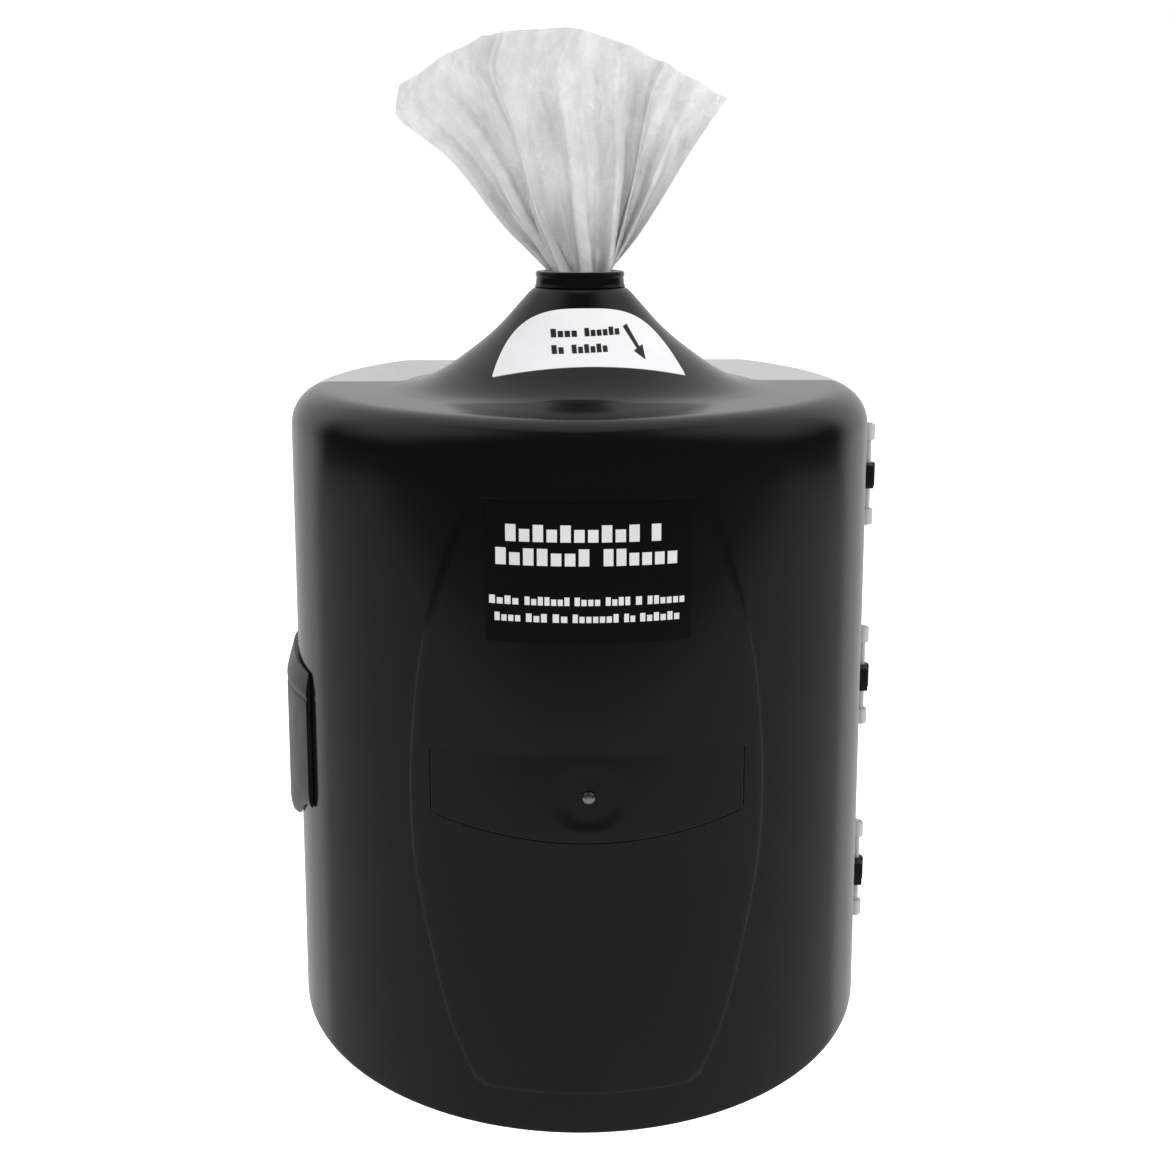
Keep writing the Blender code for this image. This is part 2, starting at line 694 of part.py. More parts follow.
bracket = latch_block("latch_bracket", -9.0, -6.2, -4.0, 4.0, LATCH_MID - 15.0, LATCH_MID + 15.0)
ears = [latch_block("ear", -7.5, 2.4, -3.6, 3.6, LATCH_MID + s * 15.5 - 1.5 - 1.5 * s, LATCH_MID + s * 15.5 + 1.5 - 1.5 * s)
        for s in (-1.0, 1.0)]
combine(bracket, ears, "UNION")
pin_bore = rod("bore", 1.6, LATCH_MID - 30, LATCH_MID + 30, LP.x, LP.y, 18)
combine(bracket, [pin_bore], "DIFFERENCE")
finish(bracket, STEEL + (1.0,), door_axis)

# latch group
finish(build_latch("latch_handle"), BLACK, latch_axis)
spring = coil("latch_spring", LP.x, LP.y, 2.45, 0.42, LATCH_MID + 6.4, LATCH_MID + 11.6, 4)
finish(spring, STEEL + (1.0,), latch_axis)
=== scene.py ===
import math
import random

import bmesh
import bpy
import numpy as np
from mathutils import Matrix, Vector, noise


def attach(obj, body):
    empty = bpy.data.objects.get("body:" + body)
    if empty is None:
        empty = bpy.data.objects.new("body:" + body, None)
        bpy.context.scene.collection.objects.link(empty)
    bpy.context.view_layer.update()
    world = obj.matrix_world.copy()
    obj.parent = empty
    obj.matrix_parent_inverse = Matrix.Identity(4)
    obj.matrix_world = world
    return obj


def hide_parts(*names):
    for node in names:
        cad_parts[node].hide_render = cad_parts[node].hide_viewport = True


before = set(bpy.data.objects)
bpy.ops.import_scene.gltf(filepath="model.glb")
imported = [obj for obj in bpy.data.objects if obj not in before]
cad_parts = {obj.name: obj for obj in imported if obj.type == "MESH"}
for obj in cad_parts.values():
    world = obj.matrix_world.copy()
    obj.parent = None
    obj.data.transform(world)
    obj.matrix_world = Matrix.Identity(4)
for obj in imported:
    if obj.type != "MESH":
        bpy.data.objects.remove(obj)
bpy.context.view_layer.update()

# ------------------------------------------------------------------ sizes
# Millimetres, as in the frame: x right, y into the wall, h above the body's floor.
MM = 0.001
BODY_H = 305.0
HALF_W = 140.0
FRONT_D = 150.0
SEAM_Y = -104.0
REAR_SEMI = 176.0
WALL_T = 3.0
SHOULDER_R = 17.0
SEAM_GAP = 0.15
Z_BASE = -BODY_H / 2
NOZZLE_Y = SEAM_Y - 12.0
HINGE_X, HINGE_Y = 144.4, SEAM_Y
HINGE_LEN = 51.0
HINGE_Z = (48.5, 153.0, 257.5)
BADGE_H = 151.0
LATCH_PHI = 64.0
LATCH_DEPTH = 6.0
LATCH_MID = 136.0
LATCH_TOP, LATCH_BOT_REAR, LATCH_BOT_FRONT = 177.0, 90.0, 112.0
ROLL_R, ROLL_H, ROLL_CORE_R, ROLL_Z = 105.0, 203.0, 20.0, 8.0


def P(x, y, h):
    return (x * MM, y * MM, (h + Z_BASE) * MM)


def smooth(a, b, t):
    t = max(0.0, min(1.0, (t - a) / (b - a)))
    return t * t * (3 - 2 * t)


# -------------------------------------------------------------- materials
class Mat:
    """A node material with short calls for the noise, ramps and bumps below."""

    def __init__(self, name, rough=0.3, metal=0.0, ior=None, coat=None, coat_rough=None, spec=None):
        self.m = bpy.data.materials.new(name)
        self.m.use_nodes = True
        self.nt = self.m.node_tree
        self.n = self.nt.nodes
        self.l = self.nt.links
        self.b = self.n["Principled BSDF"]
        self.b.inputs["Roughness"].default_value = rough
        self.b.inputs["Metallic"].default_value = metal
        if ior is not None:
            self.b.inputs["IOR"].default_value = ior
        if coat is not None:
            self.b.inputs["Coat Weight"].default_value = coat
        if coat_rough is not None:
            self.b.inputs["Coat Roughness"].default_value = coat_rough
        if spec is not None:
            self.b.inputs["Specular IOR Level"].default_value = spec
        self.coord = self.n.new("ShaderNodeTexCoord")

    def scaled(self, sx=1.0, sy=1.0, sz=1.0, src="Object"):
        mp = self.n.new("ShaderNodeMapping")
        mp.inputs["Scale"].default_value = (sx, sy, sz)
        self.l.new(self.coord.outputs[src], mp.inputs["Vector"])
        return mp.outputs["Vector"]

    def noise(self, scale, detail=3.0, rough=0.5, vec=None, dist=0.0):
        t = self.n.new("ShaderNodeTexNoise")
        t.inputs["Scale"].default_value = scale
        t.inputs["Detail"].default_value = detail
        t.inputs["Roughness"].default_value = rough
        t.inputs["Distortion"].default_value = dist
        self.l.new(vec if vec is not None else self.coord.outputs["Object"], t.inputs["Vector"])
        return t.outputs["Fac"]

    def voronoi(self, scale, vec=None, feature="F1"):
        t = self.n.new("ShaderNodeTexVoronoi")
        t.feature = feature
        t.inputs["Scale"].default_value = scale
        self.l.new(vec if vec is not None else self.coord.outputs["Object"], t.inputs["Vector"])
        return t.outputs["Distance"]

    def wave(self, scale, dist=0.0, vec=None, direction="X", detail=2.0):
        t = self.n.new("ShaderNodeTexWave")
        t.bands_direction = direction
        t.inputs["Scale"].default_value = scale
        t.inputs["Distortion"].default_value = dist
        t.inputs["Detail"].default_value = detail
        self.l.new(vec if vec is not None else self.coord.outputs["Object"], t.inputs["Vector"])
        return t.outputs["Fac"]

    def ramp(self, fac, stops):
        r = self.n.new("ShaderNodeValToRGB")
        els = r.color_ramp.elements
        while len(els) < len(stops):
            els.new(0.5)
        for e, (pos, col) in zip(els, stops):
            e.position = pos
            e.color = (*col, 1.0) if hasattr(col, "__len__") else (col, col, col, 1.0)
        self.l.new(fac, r.inputs["Fac"])
        return r.outputs["Color"]

    def math(self, op, a, b=None, clamp=False):
        t = self.n.new("ShaderNodeMath")
        t.operation = op
        t.use_clamp = clamp
        for i, v in enumerate((a, b)):
            if v is None:
                continue
            if isinstance(v, (int, float)):
                t.inputs[i].default_value = v
            else:
                self.l.new(v, t.inputs[i])
        return t.outputs["Value"]

    def mix(self, fac, a, b, blend="MIX"):
        t = self.n.new("ShaderNodeMix")
        t.data_type = "RGBA"
        t.blend_type = blend
        for i, v in ((0, fac), (6, a), (7, b)):
            if isinstance(v, (int, float)):
                t.inputs[i].default_value = v
            elif isinstance(v, tuple):
                t.inputs[i].default_value = (*v, 1.0)
            else:
                self.l.new(v, t.inputs[i])
        return t.outputs[2]

    def bump(self, height, strength=0.3, distance=0.001, normal=None):
        t = self.n.new("ShaderNodeBump")
        t.inputs["Strength"].default_value = strength
        t.inputs["Distance"].default_value = distance
        self.l.new(height, t.inputs["Height"])
        if normal is not None:
            self.l.new(normal, t.inputs["Normal"])
        return t.outputs["Normal"]

    def set(self, socket, value):
        if isinstance(value, (int, float)):
            self.b.inputs[socket].default_value = value
        elif isinstance(value, tuple):
            self.b.inputs[socket].default_value = (*value, 1.0)
        else:
            self.l.new(value, self.b.inputs[socket])
        return self


def black_gloss(name, rough=0.13, base=0.0026):
    """Injection-moulded black plastic: faint flow mottle and fine haze."""
    m = Mat(name, rough=rough, ior=1.5, spec=0.42)
    mott = m.noise(9.0, 4.0, 0.55)
    m.set("Base Color", m.ramp(mott, [(0.25, (base, base, base * 1.05)), (0.8, (base * 1.5, base * 1.45, base * 1.5))]))
    haze = m.noise(26.0, 5.0, 0.6)
    fine = m.noise(420.0, 2.0, 0.5)
    r = m.math("ADD", m.math("MULTIPLY", haze, 0.07), rough - 0.035)
    m.set("Roughness", m.math("ADD", r, m.math("MULTIPLY", fine, 0.02)))
    slow = m.noise(7.0, 2.0, 0.5)
    n1 = m.bump(slow, 0.12, 0.0022)
    m.set("Normal", m.bump(fine, 0.035, 0.0002, n1))
    return m.m


def black_satin(name, base=0.006, rough=0.30, spec=0.22):
    """Finely textured black plastic, for handles and knuckles."""
    m = Mat(name, rough=rough, spec=spec)
    grain = m.voronoi(900.0)
    mott = m.noise(40.0, 3.0)
    m.set("Base Color", m.ramp(mott, [(0.3, (base, base, base * 1.04)), (0.8, (base * 1.5, base * 1.5, base * 1.5))]))
    m.set("Roughness", m.math("ADD", m.math("MULTIPLY", m.noise(120.0, 3.0), 0.12), rough - 0.06))
    m.set("Normal", m.bump(grain, 0.10, 0.0002))
    return m.m


def grey_plastic(name, base=0.46, rough=0.30):
    """Light grey moulded plastic with a faint orange peel."""
    m = Mat(name, rough=rough)
    mott = m.noise(14.0, 4.0, 0.55)
    m.set("Base Color", m.ramp(mott, [(0.25, (base * 0.95, base * 0.955, base * 0.96)), (0.8, (base * 1.04, base * 1.045, base * 1.05))]))
    m.set("Roughness", m.math("ADD", m.math("MULTIPLY", m.noise(60.0, 4.0), 0.14), rough - 0.07))
    n1 = m.bump(m.noise(5.0, 2.0), 0.10, 0.002)
    m.set("Normal", m.bump(m.noise(700.0, 2.0), 0.10, 0.0002, n1))
    return m.m


def steel(name, rough=0.24, base=0.60, axis="Z"):
    """Drawn, bright-plated steel with fine lengthwise lines."""
    m = Mat(name, rough=rough, metal=1.0)
    sc = {"Z": (2600.0, 2600.0, 60.0), "Y": (2600.0, 60.0, 2600.0), "X": (60.0, 2600.0, 2600.0)}[axis]
    lines = m.noise(1.0, 3.0, 0.6, m.scaled(*sc))
    spot = m.noise(180.0, 4.0)
    m.set("Base Color", m.ramp(spot, [(0.3, (base * 0.92, base * 0.92, base * 0.93)), (0.75, (base * 1.08, base * 1.08, base * 1.07))]))
    m.set("Roughness", m.math("ADD", m.math("MULTIPLY", lines, 0.16), rough - 0.08))
    m.set("Normal", m.bump(lines, 0.12, 0.0001))
    return m.m


def rubber(name):
    m = Mat(name, rough=0.62)
    m.set("Base Color", m.ramp(m.noise(60.0, 4.0), [(0.3, (0.018, 0.018, 0.018)), (0.8, (0.032, 0.031, 0.030))]))
    m.set("Roughness", m.math("ADD", m.math("MULTIPLY", m.noise(300.0, 3.0), 0.2), 0.52))
    m.set("Normal", m.bump(m.noise(900.0, 2.0), 0.2, 0.0002))
    return m.m


def nonwoven(name, trans=0.35, crease=True):
    """White spunlace wipe: fine crossed fibres, small aperture dimples, faint damp mottle and painted highlight lines
    along the crinkle ridges.
    """
    m = Mat(name, rough=0.82)
    fib_a = m.noise(1.0, 4.0, 0.65, m.scaled(2600.0, 2600.0, 160.0), 0.4)
    fib_b = m.noise(1.0, 4.0, 0.65, m.scaled(300.0, 1500.0, 2600.0), 0.6)
    damp = m.noise(34.0, 5.0, 0.6, dist=0.4)
    fibre = m.math("MAXIMUM", fib_a, fib_b)
    tone = m.ramp(damp, [(0.30, (0.79, 0.79, 0.783)), (0.50, (0.85, 0.85, 0.846)), (0.68, (0.905, 0.905, 0.903))])
    col = m.mix(0.28, tone, m.ramp(fibre, [(0.35, (0.74, 0.74, 0.73)), (0.7, (0.88, 0.88, 0.875))]), "MULTIPLY")
    col = m.mix(0.80, col, tone)
    m.set("Base Color", col)
    crinkle = m.noise(95.0, 5.0, 0.62, dist=0.8)
    ridge = m.math("ABSOLUTE", m.math("SUBTRACT", m.noise(120.0, 3.0, 0.55, dist=0.5), 0.5))
    crinkle = m.math("SUBTRACT", crinkle, m.math("MULTIPLY", ridge, 1.6))
    veil = m.noise(1.0, 5.0, 0.6, m.scaled(70.0, 70.0, 24.0), 0.7)
    thin = m.ramp(veil, [(0.36, (0.88, 0.88, 0.875)), (0.50, (0.96, 0.96, 0.958)), (0.60, (1.0, 1.0, 1.0))])
    # white along the crinkle ridge crests and slightly greyer elsewhere: painted highlight where the creases catch the
    # light
    lines = m.ramp(ridge, [(0.0, (1.0, 1.0, 1.0)), (0.018, (0.955, 0.955, 0.952)), (0.09, (0.93, 0.93, 0.928))])
    tone = m.mix(1.0, m.mix(1.0, tone, thin, "MULTIPLY"), lines, "MULTIPLY")
    m.set("Base Color", tone)
    n1 = m.bump(m.math("ADD", damp, m.math("MULTIPLY", crinkle, 0.9)), 0.55, 0.0018)
    n2 = m.bump(fibre, 0.42, 0.00025, n1)
    m.set("Normal", n2)
    m.set("Roughness", m.math("ADD", m.math("MULTIPLY", fibre, 0.16), 0.70))
    m.b.inputs["Sheen Weight"].default_value = 0.12
    m.b.inputs["Sheen Roughness"].default_value = 0.5
    m.b.inputs["Specular IOR Level"].default_value = 0.22
    if trans > 0:
        out = m.n["Material Output"]
        tr = m.n.new("ShaderNodeBsdfTranslucent")
        m.l.new(tone, tr.inputs["Color"])
        m.l.new(n2, tr.inputs["Normal"])
        mx = m.n.new("ShaderNodeMixShader")
        mx.inputs["Fac"].default_value = trans
        m.l.new(m.b.outputs["BSDF"], mx.inputs[1])
        m.l.new(tr.outputs["BSDF"], mx.inputs[2])
        m.l.new(mx.outputs["Shader"], out.inputs["Surface"])
    return m.m


def film(name, colour, rough, spread=0.12, spec=0.5):
    """Printed vinyl film."""
    m = Mat(name, rough=rough, spec=spec)
    c0 = tuple(c * (1 - spread) for c in colour)
    c1 = tuple(min(1.0, c * (1 + spread)) for c in colour)
    m.set("Base Color", m.ramp(m.noise(50.0, 4.0), [(0.3, c0), (0.75, c1)]))
    m.set("Roughness", m.math("ADD", m.math("MULTIPLY", m.noise(240.0, 3.0), 0.10), rough - 0.05))
    m.set("Normal", m.bump(m.noise(500.0, 2.0), 0.06, 0.0002))
    return m.m


M_DOOR = black_gloss("moulded_black")
M_NOZZLE = black_gloss("nozzle_black", 0.18)
M_BADGE = black_gloss("badge_black", 0.15)
M_LATCH = black_satin("latch_black")
M_KNUCKLE = black_satin("knuckle_black", 0.006, 0.3)
M_GREY = grey_plastic("housing_grey")
M_BRACKET = grey_plastic("bracket_grey", 0.40, 0.34)
M_TRAY = grey_plastic("tray_grey", 0.42, 0.36)
M_PIN = grey_plastic("pin_plated", 0.36, 0.28)
M_SCREW = steel("screw_steel", 0.22, 0.62, "Y")
M_STRIKE = steel("strike_steel", 0.30, 0.55)
M_RUBBER = rubber("nozzle_rubber")
M_WIPE = nonwoven("wipe_nonwoven", 0.55)
M_STRAND = nonwoven("strand_nonwoven", 0.15)
M_LABEL = film("label_black", (0.0020, 0.0020, 0.0021), 0.34, spec=0.22)
M_INK = film("label_ink", (0.52, 0.52, 0.52), 0.5, 0.04)
M_STICKER = film("sticker_white", (0.74, 0.74, 0.755), 0.36, 0.03)
# near-black matte film for the thin strip round the badge's sides and foot: painted shadow of a groove
M_PAINTED_GAP_SHADOW = film("painted_gap_shadow", (0.0006, 0.0006, 0.0006), 0.85, spec=0.02)
M_PRINT = film("sticker_print", (0.010, 0.010, 0.012), 0.45)


# ------------------------------------------------------------ mesh helpers
def new_object(name, verts_mm, faces, mats, angle=40.0, mat_ids=None, flip=False):
    me = bpy.data.meshes.new(name)
    me.from_pydata([P(*v) for v in verts_mm], [], faces)
    me.validate()
    for m in mats:
        me.materials.append(m)
    if mat_ids is not None:
        me.polygons.foreach_set("material_index", mat_ids)
    bm = bmesh.new()
    bm.from_mesh(me)
    bmesh.ops.remove_doubles(bm, verts=bm.verts, dist=1e-6)
    if flip:
        bmesh.ops.reverse_faces(bm, faces=bm.faces)
    bm.to_mesh(me)
    bm.free()
    me.shade_smooth()
    if angle is not None:
        me.set_sharp_from_angle(angle=math.radians(angle))
    ob = bpy.data.objects.new(name, me)
    bpy.context.scene.collection.objects.link(ob)
    return ob


def outward(ob):
    bm = bmesh.new()
    bm.from_mesh(ob.data)
    bmesh.ops.recalc_face_normals(bm, faces=bm.faces)
    bm.to_mesh(ob.data)
    bm.free()
    return ob


def grid_faces(rows, closed=False, base=0):
    """Quads between rows of equal length, as index lists."""
    faces = []
    n = len(rows[0])
    last = n if closed else n - 1
    for a, b in zip(rows, rows[1:]):
        for i in range(last):
            j = (i + 1) % n
            faces.append((a[i], a[j], b[j], b[i]))
    return faces


def lathe(name, profile, cx, cy, mats, seg=96, loop=False, angle=40.0, round_by=None):
    """Turn a (radius, height) profile about a vertical axis.  The profile is a
    closed loop, or runs from the axis back to the axis."""
    verts, rows = [], []
    for r, h in profile:
        if r < 1e-9:
            rows.append([len(verts)] * seg)
            verts.append((cx, cy, h))
        else:
            row = []
            for s in range(seg):
                a = 2 * math.pi * s / seg
                row.append(len(verts))
                verts.append((cx + r * math.cos(a), cy + r * math.sin(a), h))
            rows.append(row)
    pairs = list(zip(rows, rows[1:]))
    if loop:
        pairs.append((rows[-1], rows[0]))
    faces = []
    for a, b in pairs:
        for s in range(seg):
            t = (s + 1) % seg
            q = []
            for v in (a[s], a[t], b[t], b[s]):
                if v not in q:
                    q.append(v)
            if len(q) > 2:
                faces.append(tuple(q))
    return outward(new_object(name, verts, faces, mats, angle))


def fillet(points, radii, steps=5):
    """Round the corners of an open (r, h) profile by the given radii."""
    out = [points[0]]
    for i in range(1, len(points) - 1):
        p0, p1, p2 = (Vector(q) for q in (points[i - 1], points[i], points[i + 1]))
        r = radii[i]
        a, b = (p0 - p1), (p2 - p1)
        if r <= 0 or a.length < 1e-6 or b.length < 1e-6:
            out.append(tuple(p1))
            continue
        ang = a.angle(b)
        cut = min(r / max(math.tan(ang / 2), 1e-6), a.length * 0.49, b.length * 0.49)
        s, e = p1 + a.normalized() * cut, p1 + b.normalized() * cut
        for k in range(steps + 1):
            t = k / steps
            out.append(tuple(s * (1 - t) ** 2 + p1 * 2 * t * (1 - t) + e * t * t))
    out.append(points[-1])
    return out


def bevel_box(name, x0, x1, y0, y1, h0, h1, mats, width=0.4, seg=3):
    v = [(x, y, h) for h in (h0, h1) for y in (y0, y1) for x in (x0, x1)]
    f = [(0, 1, 3, 2), (4, 6, 7, 5), (0, 4, 5, 1), (1, 5, 7, 3), (3, 7, 6, 2), (2, 6, 4, 0)]
    ob = outward(new_object(name, v, f, mats, 30.0))
    bv = ob.modifiers.new("edge", "BEVEL")
    bv.width, bv.segments, bv.limit_method = width * MM, seg, "ANGLE"
    return ob


def bake_modifiers(ob):
    """Apply what is on the object, without operators."""
    bpy.context.view_layer.update()
    deps = bpy.context.evaluated_depsgraph_get()
    me = bpy.data.meshes.new_from_object(ob.evaluated_get(deps))
    ob.modifiers.clear()
    ob.data = me
    return ob


def cut(ob, tool, op="DIFFERENCE"):
    mod = ob.modifiers.new("cut", "BOOLEAN")
    mod.operation, mod.solver, mod.object = op, "EXACT", tool
    bake_modifiers(ob)
    bpy.data.objects.remove(tool, do_unlink=True)
    return ob


# ------------------------------------------------------------ plan curves
def door_point(phi_deg, off=0.0):
    p = math.radians(phi_deg)
    x, y = HALF_W * math.sin(p), -FRONT_D * math.cos(p)
    nx, ny = math.sin(p) / HALF_W, -math.cos(p) / FRONT_D
    ln = math.hypot(nx, ny)
    return (x + off * nx / ln, SEAM_Y + y + off * ny / ln)


def door_normal(phi_deg):
    p = math.radians(phi_deg)
    nx, ny = math.sin(p) / HALF_W, -math.cos(p) / FRONT_D
    ln = math.hypot(nx, ny)
    return Vector((nx / ln, ny / ln, 0.0))


def phi_of_x(x):
    return math.degrees(math.asin(max(-1.0, min(1.0, x / HALF_W))))


def rear_x(depth, off=0.0):
    if depth <= 0.0:
        return HALF_W + off
    lo, hi = 0.0, math.radians(60.0)
    for _ in range(50):
        t = 0.5 * (lo + hi)
        nx, ny = math.cos(t) / HALF_W, math.sin(t) / REAR_SEMI
        y = REAR_SEMI * math.sin(t) + off * ny / math.hypot(nx, ny)
        if y < depth:
            lo = t
        else:
            hi = t
    nx, ny = math.cos(t) / HALF_W, math.sin(t) / REAR_SEMI
    return HALF_W * math.cos(t) + off * nx / math.hypot(nx, ny)


# the raised barrel-shaped panel on the door's front
PANEL_LOW, PANEL_HIGH = 18.5, 275.5
PANEL_SIDE = [(17.1, 47.0), (47.8, 59.7), (88.0, 69.3), (114.8, 73.9), (136.0, 75.2), (158.0, 75.0),
              (193.3, 71.9), (223.6, 66.1), (250.0, 57.6), (275.5, 47.0)]
PANEL_RISE = 0.85


def panel_half(h):
    """Half width of the panel at a height, through the points above."""
    pts = PANEL_SIDE
    if h <= pts[0][0]:
        return pts[0][1]
    if h >= pts[-1][0]:
        return pts[-1][1]
    for i in range(len(pts) - 1):
        (h0, w0), (h1, w1) = pts[i], pts[i + 1]
        if h0 <= h <= h1:
            a = pts[i - 1] if i else (2 * h0 - h1, 2 * w0 - w1)
            b = pts[i + 2] if i + 2 < len(pts) else (2 * h1 - h0, 2 * w1 - w0)
            m0 = (w1 - a[1]) / (h1 - a[0]) * (h1 - h0)
            m1 = (b[1] - w0) / (b[0] - h0) * (h1 - h0)
            t = (h - h0) / (h1 - h0)
            return ((2 * t ** 3 - 3 * t * t + 1) * w0 + (t ** 3 - 2 * t * t + t) * m0
                    + (-2 * t ** 3 + 3 * t * t) * w1 + (t ** 3 - t * t) * m1)
    return pts[-1][1]


def panel_lift(x, h):
    """How far the panel stands proud at a point of the front (0 outside)."""
    corner = 7.0
    w = panel_half(h)
    dx = w - abs(x)
    dh = min(h - PANEL_LOW, PANEL_HIGH - h)
    if dx < corner and dh < corner:
        d = corner - math.hypot(corner - dx, corner - dh)
    else:
        d = min(dx, dh)
    return PANEL_RISE * smooth(0.0, 1.3, d)


# ------------------------------------------------------------- door shell
CONE_TOP_R, CONE_TOP_Z = 22.3, 46.6
CONE = [(22.3, 46.6), (24.2, 45.0), (26.4, 42.6), (31.6, 36.7), (37.3, 30.4), (43.8, 24.2),
        (51.3, 18.2), (57.0, 13.9), (63.2, 9.6), (68.6, 6.3), (73.4, 3.9), (78.4, 2.0), (83.0, 0.9), (88.0, 0.3), (93.0, 0.0)]


def cone_z(r):
    """Height of the flare above the top plane, smooth through its points."""
    pts = CONE
    if r >= pts[-1][0]:
        return 0.0
    if r <= pts[0][0]:
        return pts[0][1]
    for i in range(len(pts) - 1):
        (r0, z0), (r1, z1) = pts[i], pts[i + 1]
        if r0 <= r <= r1:
            a = pts[i - 1] if i else (2 * r0 - r1, 2 * z0 - z1)
            b = pts[i + 2] if i + 2 < len(pts) else (2 * r1 - r0, z1)
            m0 = (z1 - a[1]) / (r1 - a[0]) * (r1 - r0)
            m1 = (b[1] - z0) / (b[0] - r0) * (r1 - r0)
            t = (r - r0) / (r1 - r0)
            return ((2 * t ** 3 - 3 * t * t + 1) * z0 + (t ** 3 - 2 * t * t + t) * m0
                    + (-2 * t ** 3 + 3 * t * t) * z1 + (t ** 3 - t * t) * m1)
    return 0.0


def cone_r(z):
    lo, hi = CONE_TOP_R, 93.0
    for _ in range(40):
        mid = 0.5 * (lo + hi)
        if cone_z(mid) > z:
            lo = mid
        else:
            hi = mid
    return 0.5 * (lo + hi)


def build_door():
    """Front shell: one outer skin (wall, panel, shoulder, top, flare), then thickened inwards."""
    # columns, by their place across the front: 0..1 outside the panel, step, panel
    n_side, n_step, n_mid = 34, 5, 46
    step_w = 1.3

    def columns(h):
        """phi of every column at a height, so that columns run along the panel's edges."""
        hh = min(max(h, PANEL_LOW), PANEL_HIGH)
        w = panel_half(hh)
        # away from the panel the edge columns ease towards even spacing
        out = []
        p_out = phi_of_x(w)
        p_in = phi_of_x(w - step_w)
        for k in range(n_side):
            t = k / n_side
            e = 1.0 - (1.0 - t) ** 1.25
            out.append(-90.0 + (90.0 - p_out) * e)
        for k in range(n_step):
            out.append(-p_out + (p_out - p_in) * k / n_step)
        for k in range(n_mid + 1):
            out.append(-p_in + 2 * p_in * k / n_mid)
        for k in range(1, n_step + 1):
            out.append(p_in + (p_out - p_in) * k / n_step)
        for k in range(n_side - 1, -1, -1):
            t = k / n_side
            e = 1.0 - (1.0 - t) ** 1.25
            out.append(90.0 - (90.0 - p_out) * e)
        return out

    # rows up the wall
    heights = [0.0, 0.35, 0.9, 1.8, 4.0, 8.0, 12.0, 15.5]
    heights += [PANEL_LOW - 0.5 + 0.36 * k for k in range(6)]
    h_in = PANEL_LOW + 1.3
    top_in = PANEL_HIGH - 1.3
    n_rows = 66
    heights += [h_in + 0.4 + (top_in - h_in - 0.8) * k / n_rows for k in range(n_rows + 1)]
    heights += [PANEL_HIGH - 1.3 + 0.36 * k for k in range(6)]
    # exact rows for the latch window
    win_lo, win_hi = LATCH_MID - 7.0, LATCH_MID + 7.0
    heights = [h for h in heights if min(abs(h - win_lo), abs(h - win_hi)) > 0.9] + [win_lo, win_hi]
    heights = sorted(set(round(h, 4) for h in heights))
    heights = [h for h in heights if h < BODY_H - SHOULDER_R - 1.0] + [BODY_H - SHOULDER_R]
    foot = [0.9, 0.35, 0.08, 0.0]
    verts, rows = [], []

    def put(x, y, h):
        verts.append((x, y, h))
        return len(verts) - 1

    cols0 = columns(BODY_H)
    n_cols = len(cols0)
    for h in heights:
        inset = 0.0
        if h < 1.8:
            inset = 0.9 * (1 - math.sqrt(max(0.0, 1 - ((1.8 - h) / 1.8) ** 2)))
        row = []
        for phi in columns(h):
            x0 = HALF_W * math.sin(math.radians(phi))
            lift = panel_lift(x0, h)
            x, y = door_point(phi, lift - inset)
            row.append(put(x, y - SEAM_GAP, h))
        rows.append(row)
    cols_top = columns(BODY_H - SHOULDER_R)
    steps = 12
    for k in range(1, steps + 1):
        a = math.radians(90.0 * k / steps)
        h = BODY_H - SHOULDER_R + SHOULDER_R * math.sin(a)
        e = SHOULDER_R - SHOULDER_R * math.cos(a)
        row = []
        for phi in cols_top:
            x, y = door_point(phi, -e)
            row.append(put(x, y - SEAM_GAP, h))
        rows.append(row)
    # the top plane, from the shoulder in to the flare
    r_join = 93.0
    dy = (SEAM_Y - SEAM_GAP) - NOZZLE_Y
    a_join = math.degrees(math.asin(dy / r_join))
    edge = [verts[i] for i in rows[-1]]

    def ring_angle(k):
        """Angle about the nozzle for column k at the join circle, seam to seam."""
        x, y, _ = edge[k]
        return math.atan2(y - NOZZLE_Y, x)

    raw = []
    for k in range(n_cols):
        a = ring_angle(k)
        if a > math.pi / 2:
            a -= 2 * math.pi
        raw.append(a)
    a0, a1 = raw[0], raw[-1]
    t0, t1 = -math.pi - math.radians(a_join), math.radians(a_join)
    angles = [t0 + (a - a0) / (a1 - a0) * (t1 - t0) for a in raw]
    n_flat = 7
    for j in range(1, n_flat + 1):
        t = j / n_flat
        row = []
        for k in range(n_cols):
            x0, y0, _ = edge[k]
            x1 = r_join * math.cos(angles[k])
            y1 = NOZZLE_Y + r_join * math.sin(angles[k])
            row.append(put(x0 + (x1 - x0) * t, y0 + (y1 - y0) * t, BODY_H))
        rows.append(row)
    # the flare: its front follows the columns, its rear is a free flange
    r_flange = 86.0
    radii = [90.5, 88.2, 86.0, 83.5, 81.0, 78.4, 75.9, 73.4, 71.0, 68.6, 66.0, 63.2, 60.1, 57.0, 54.1, 51.3, 47.5,
             43.8, 40.5, 37.3, 34.4, 31.6, 29.0, 26.4, 25.2, 24.2, 23.4, 22.7, 22.3, 21.7, 20.6, 19.6]
    top_h = BODY_H + CONE_TOP_Z
    n_rear = 44
    front_rows, rear_rows = [rows[-1]], []
    for r in radii:
        z = cone_z(r)
        if r < CONE_TOP_R:
            z = CONE_TOP_Z + 0.5 * (1 - ((r - 19.6) / (CONE_TOP_R - 19.6)) ** 2)
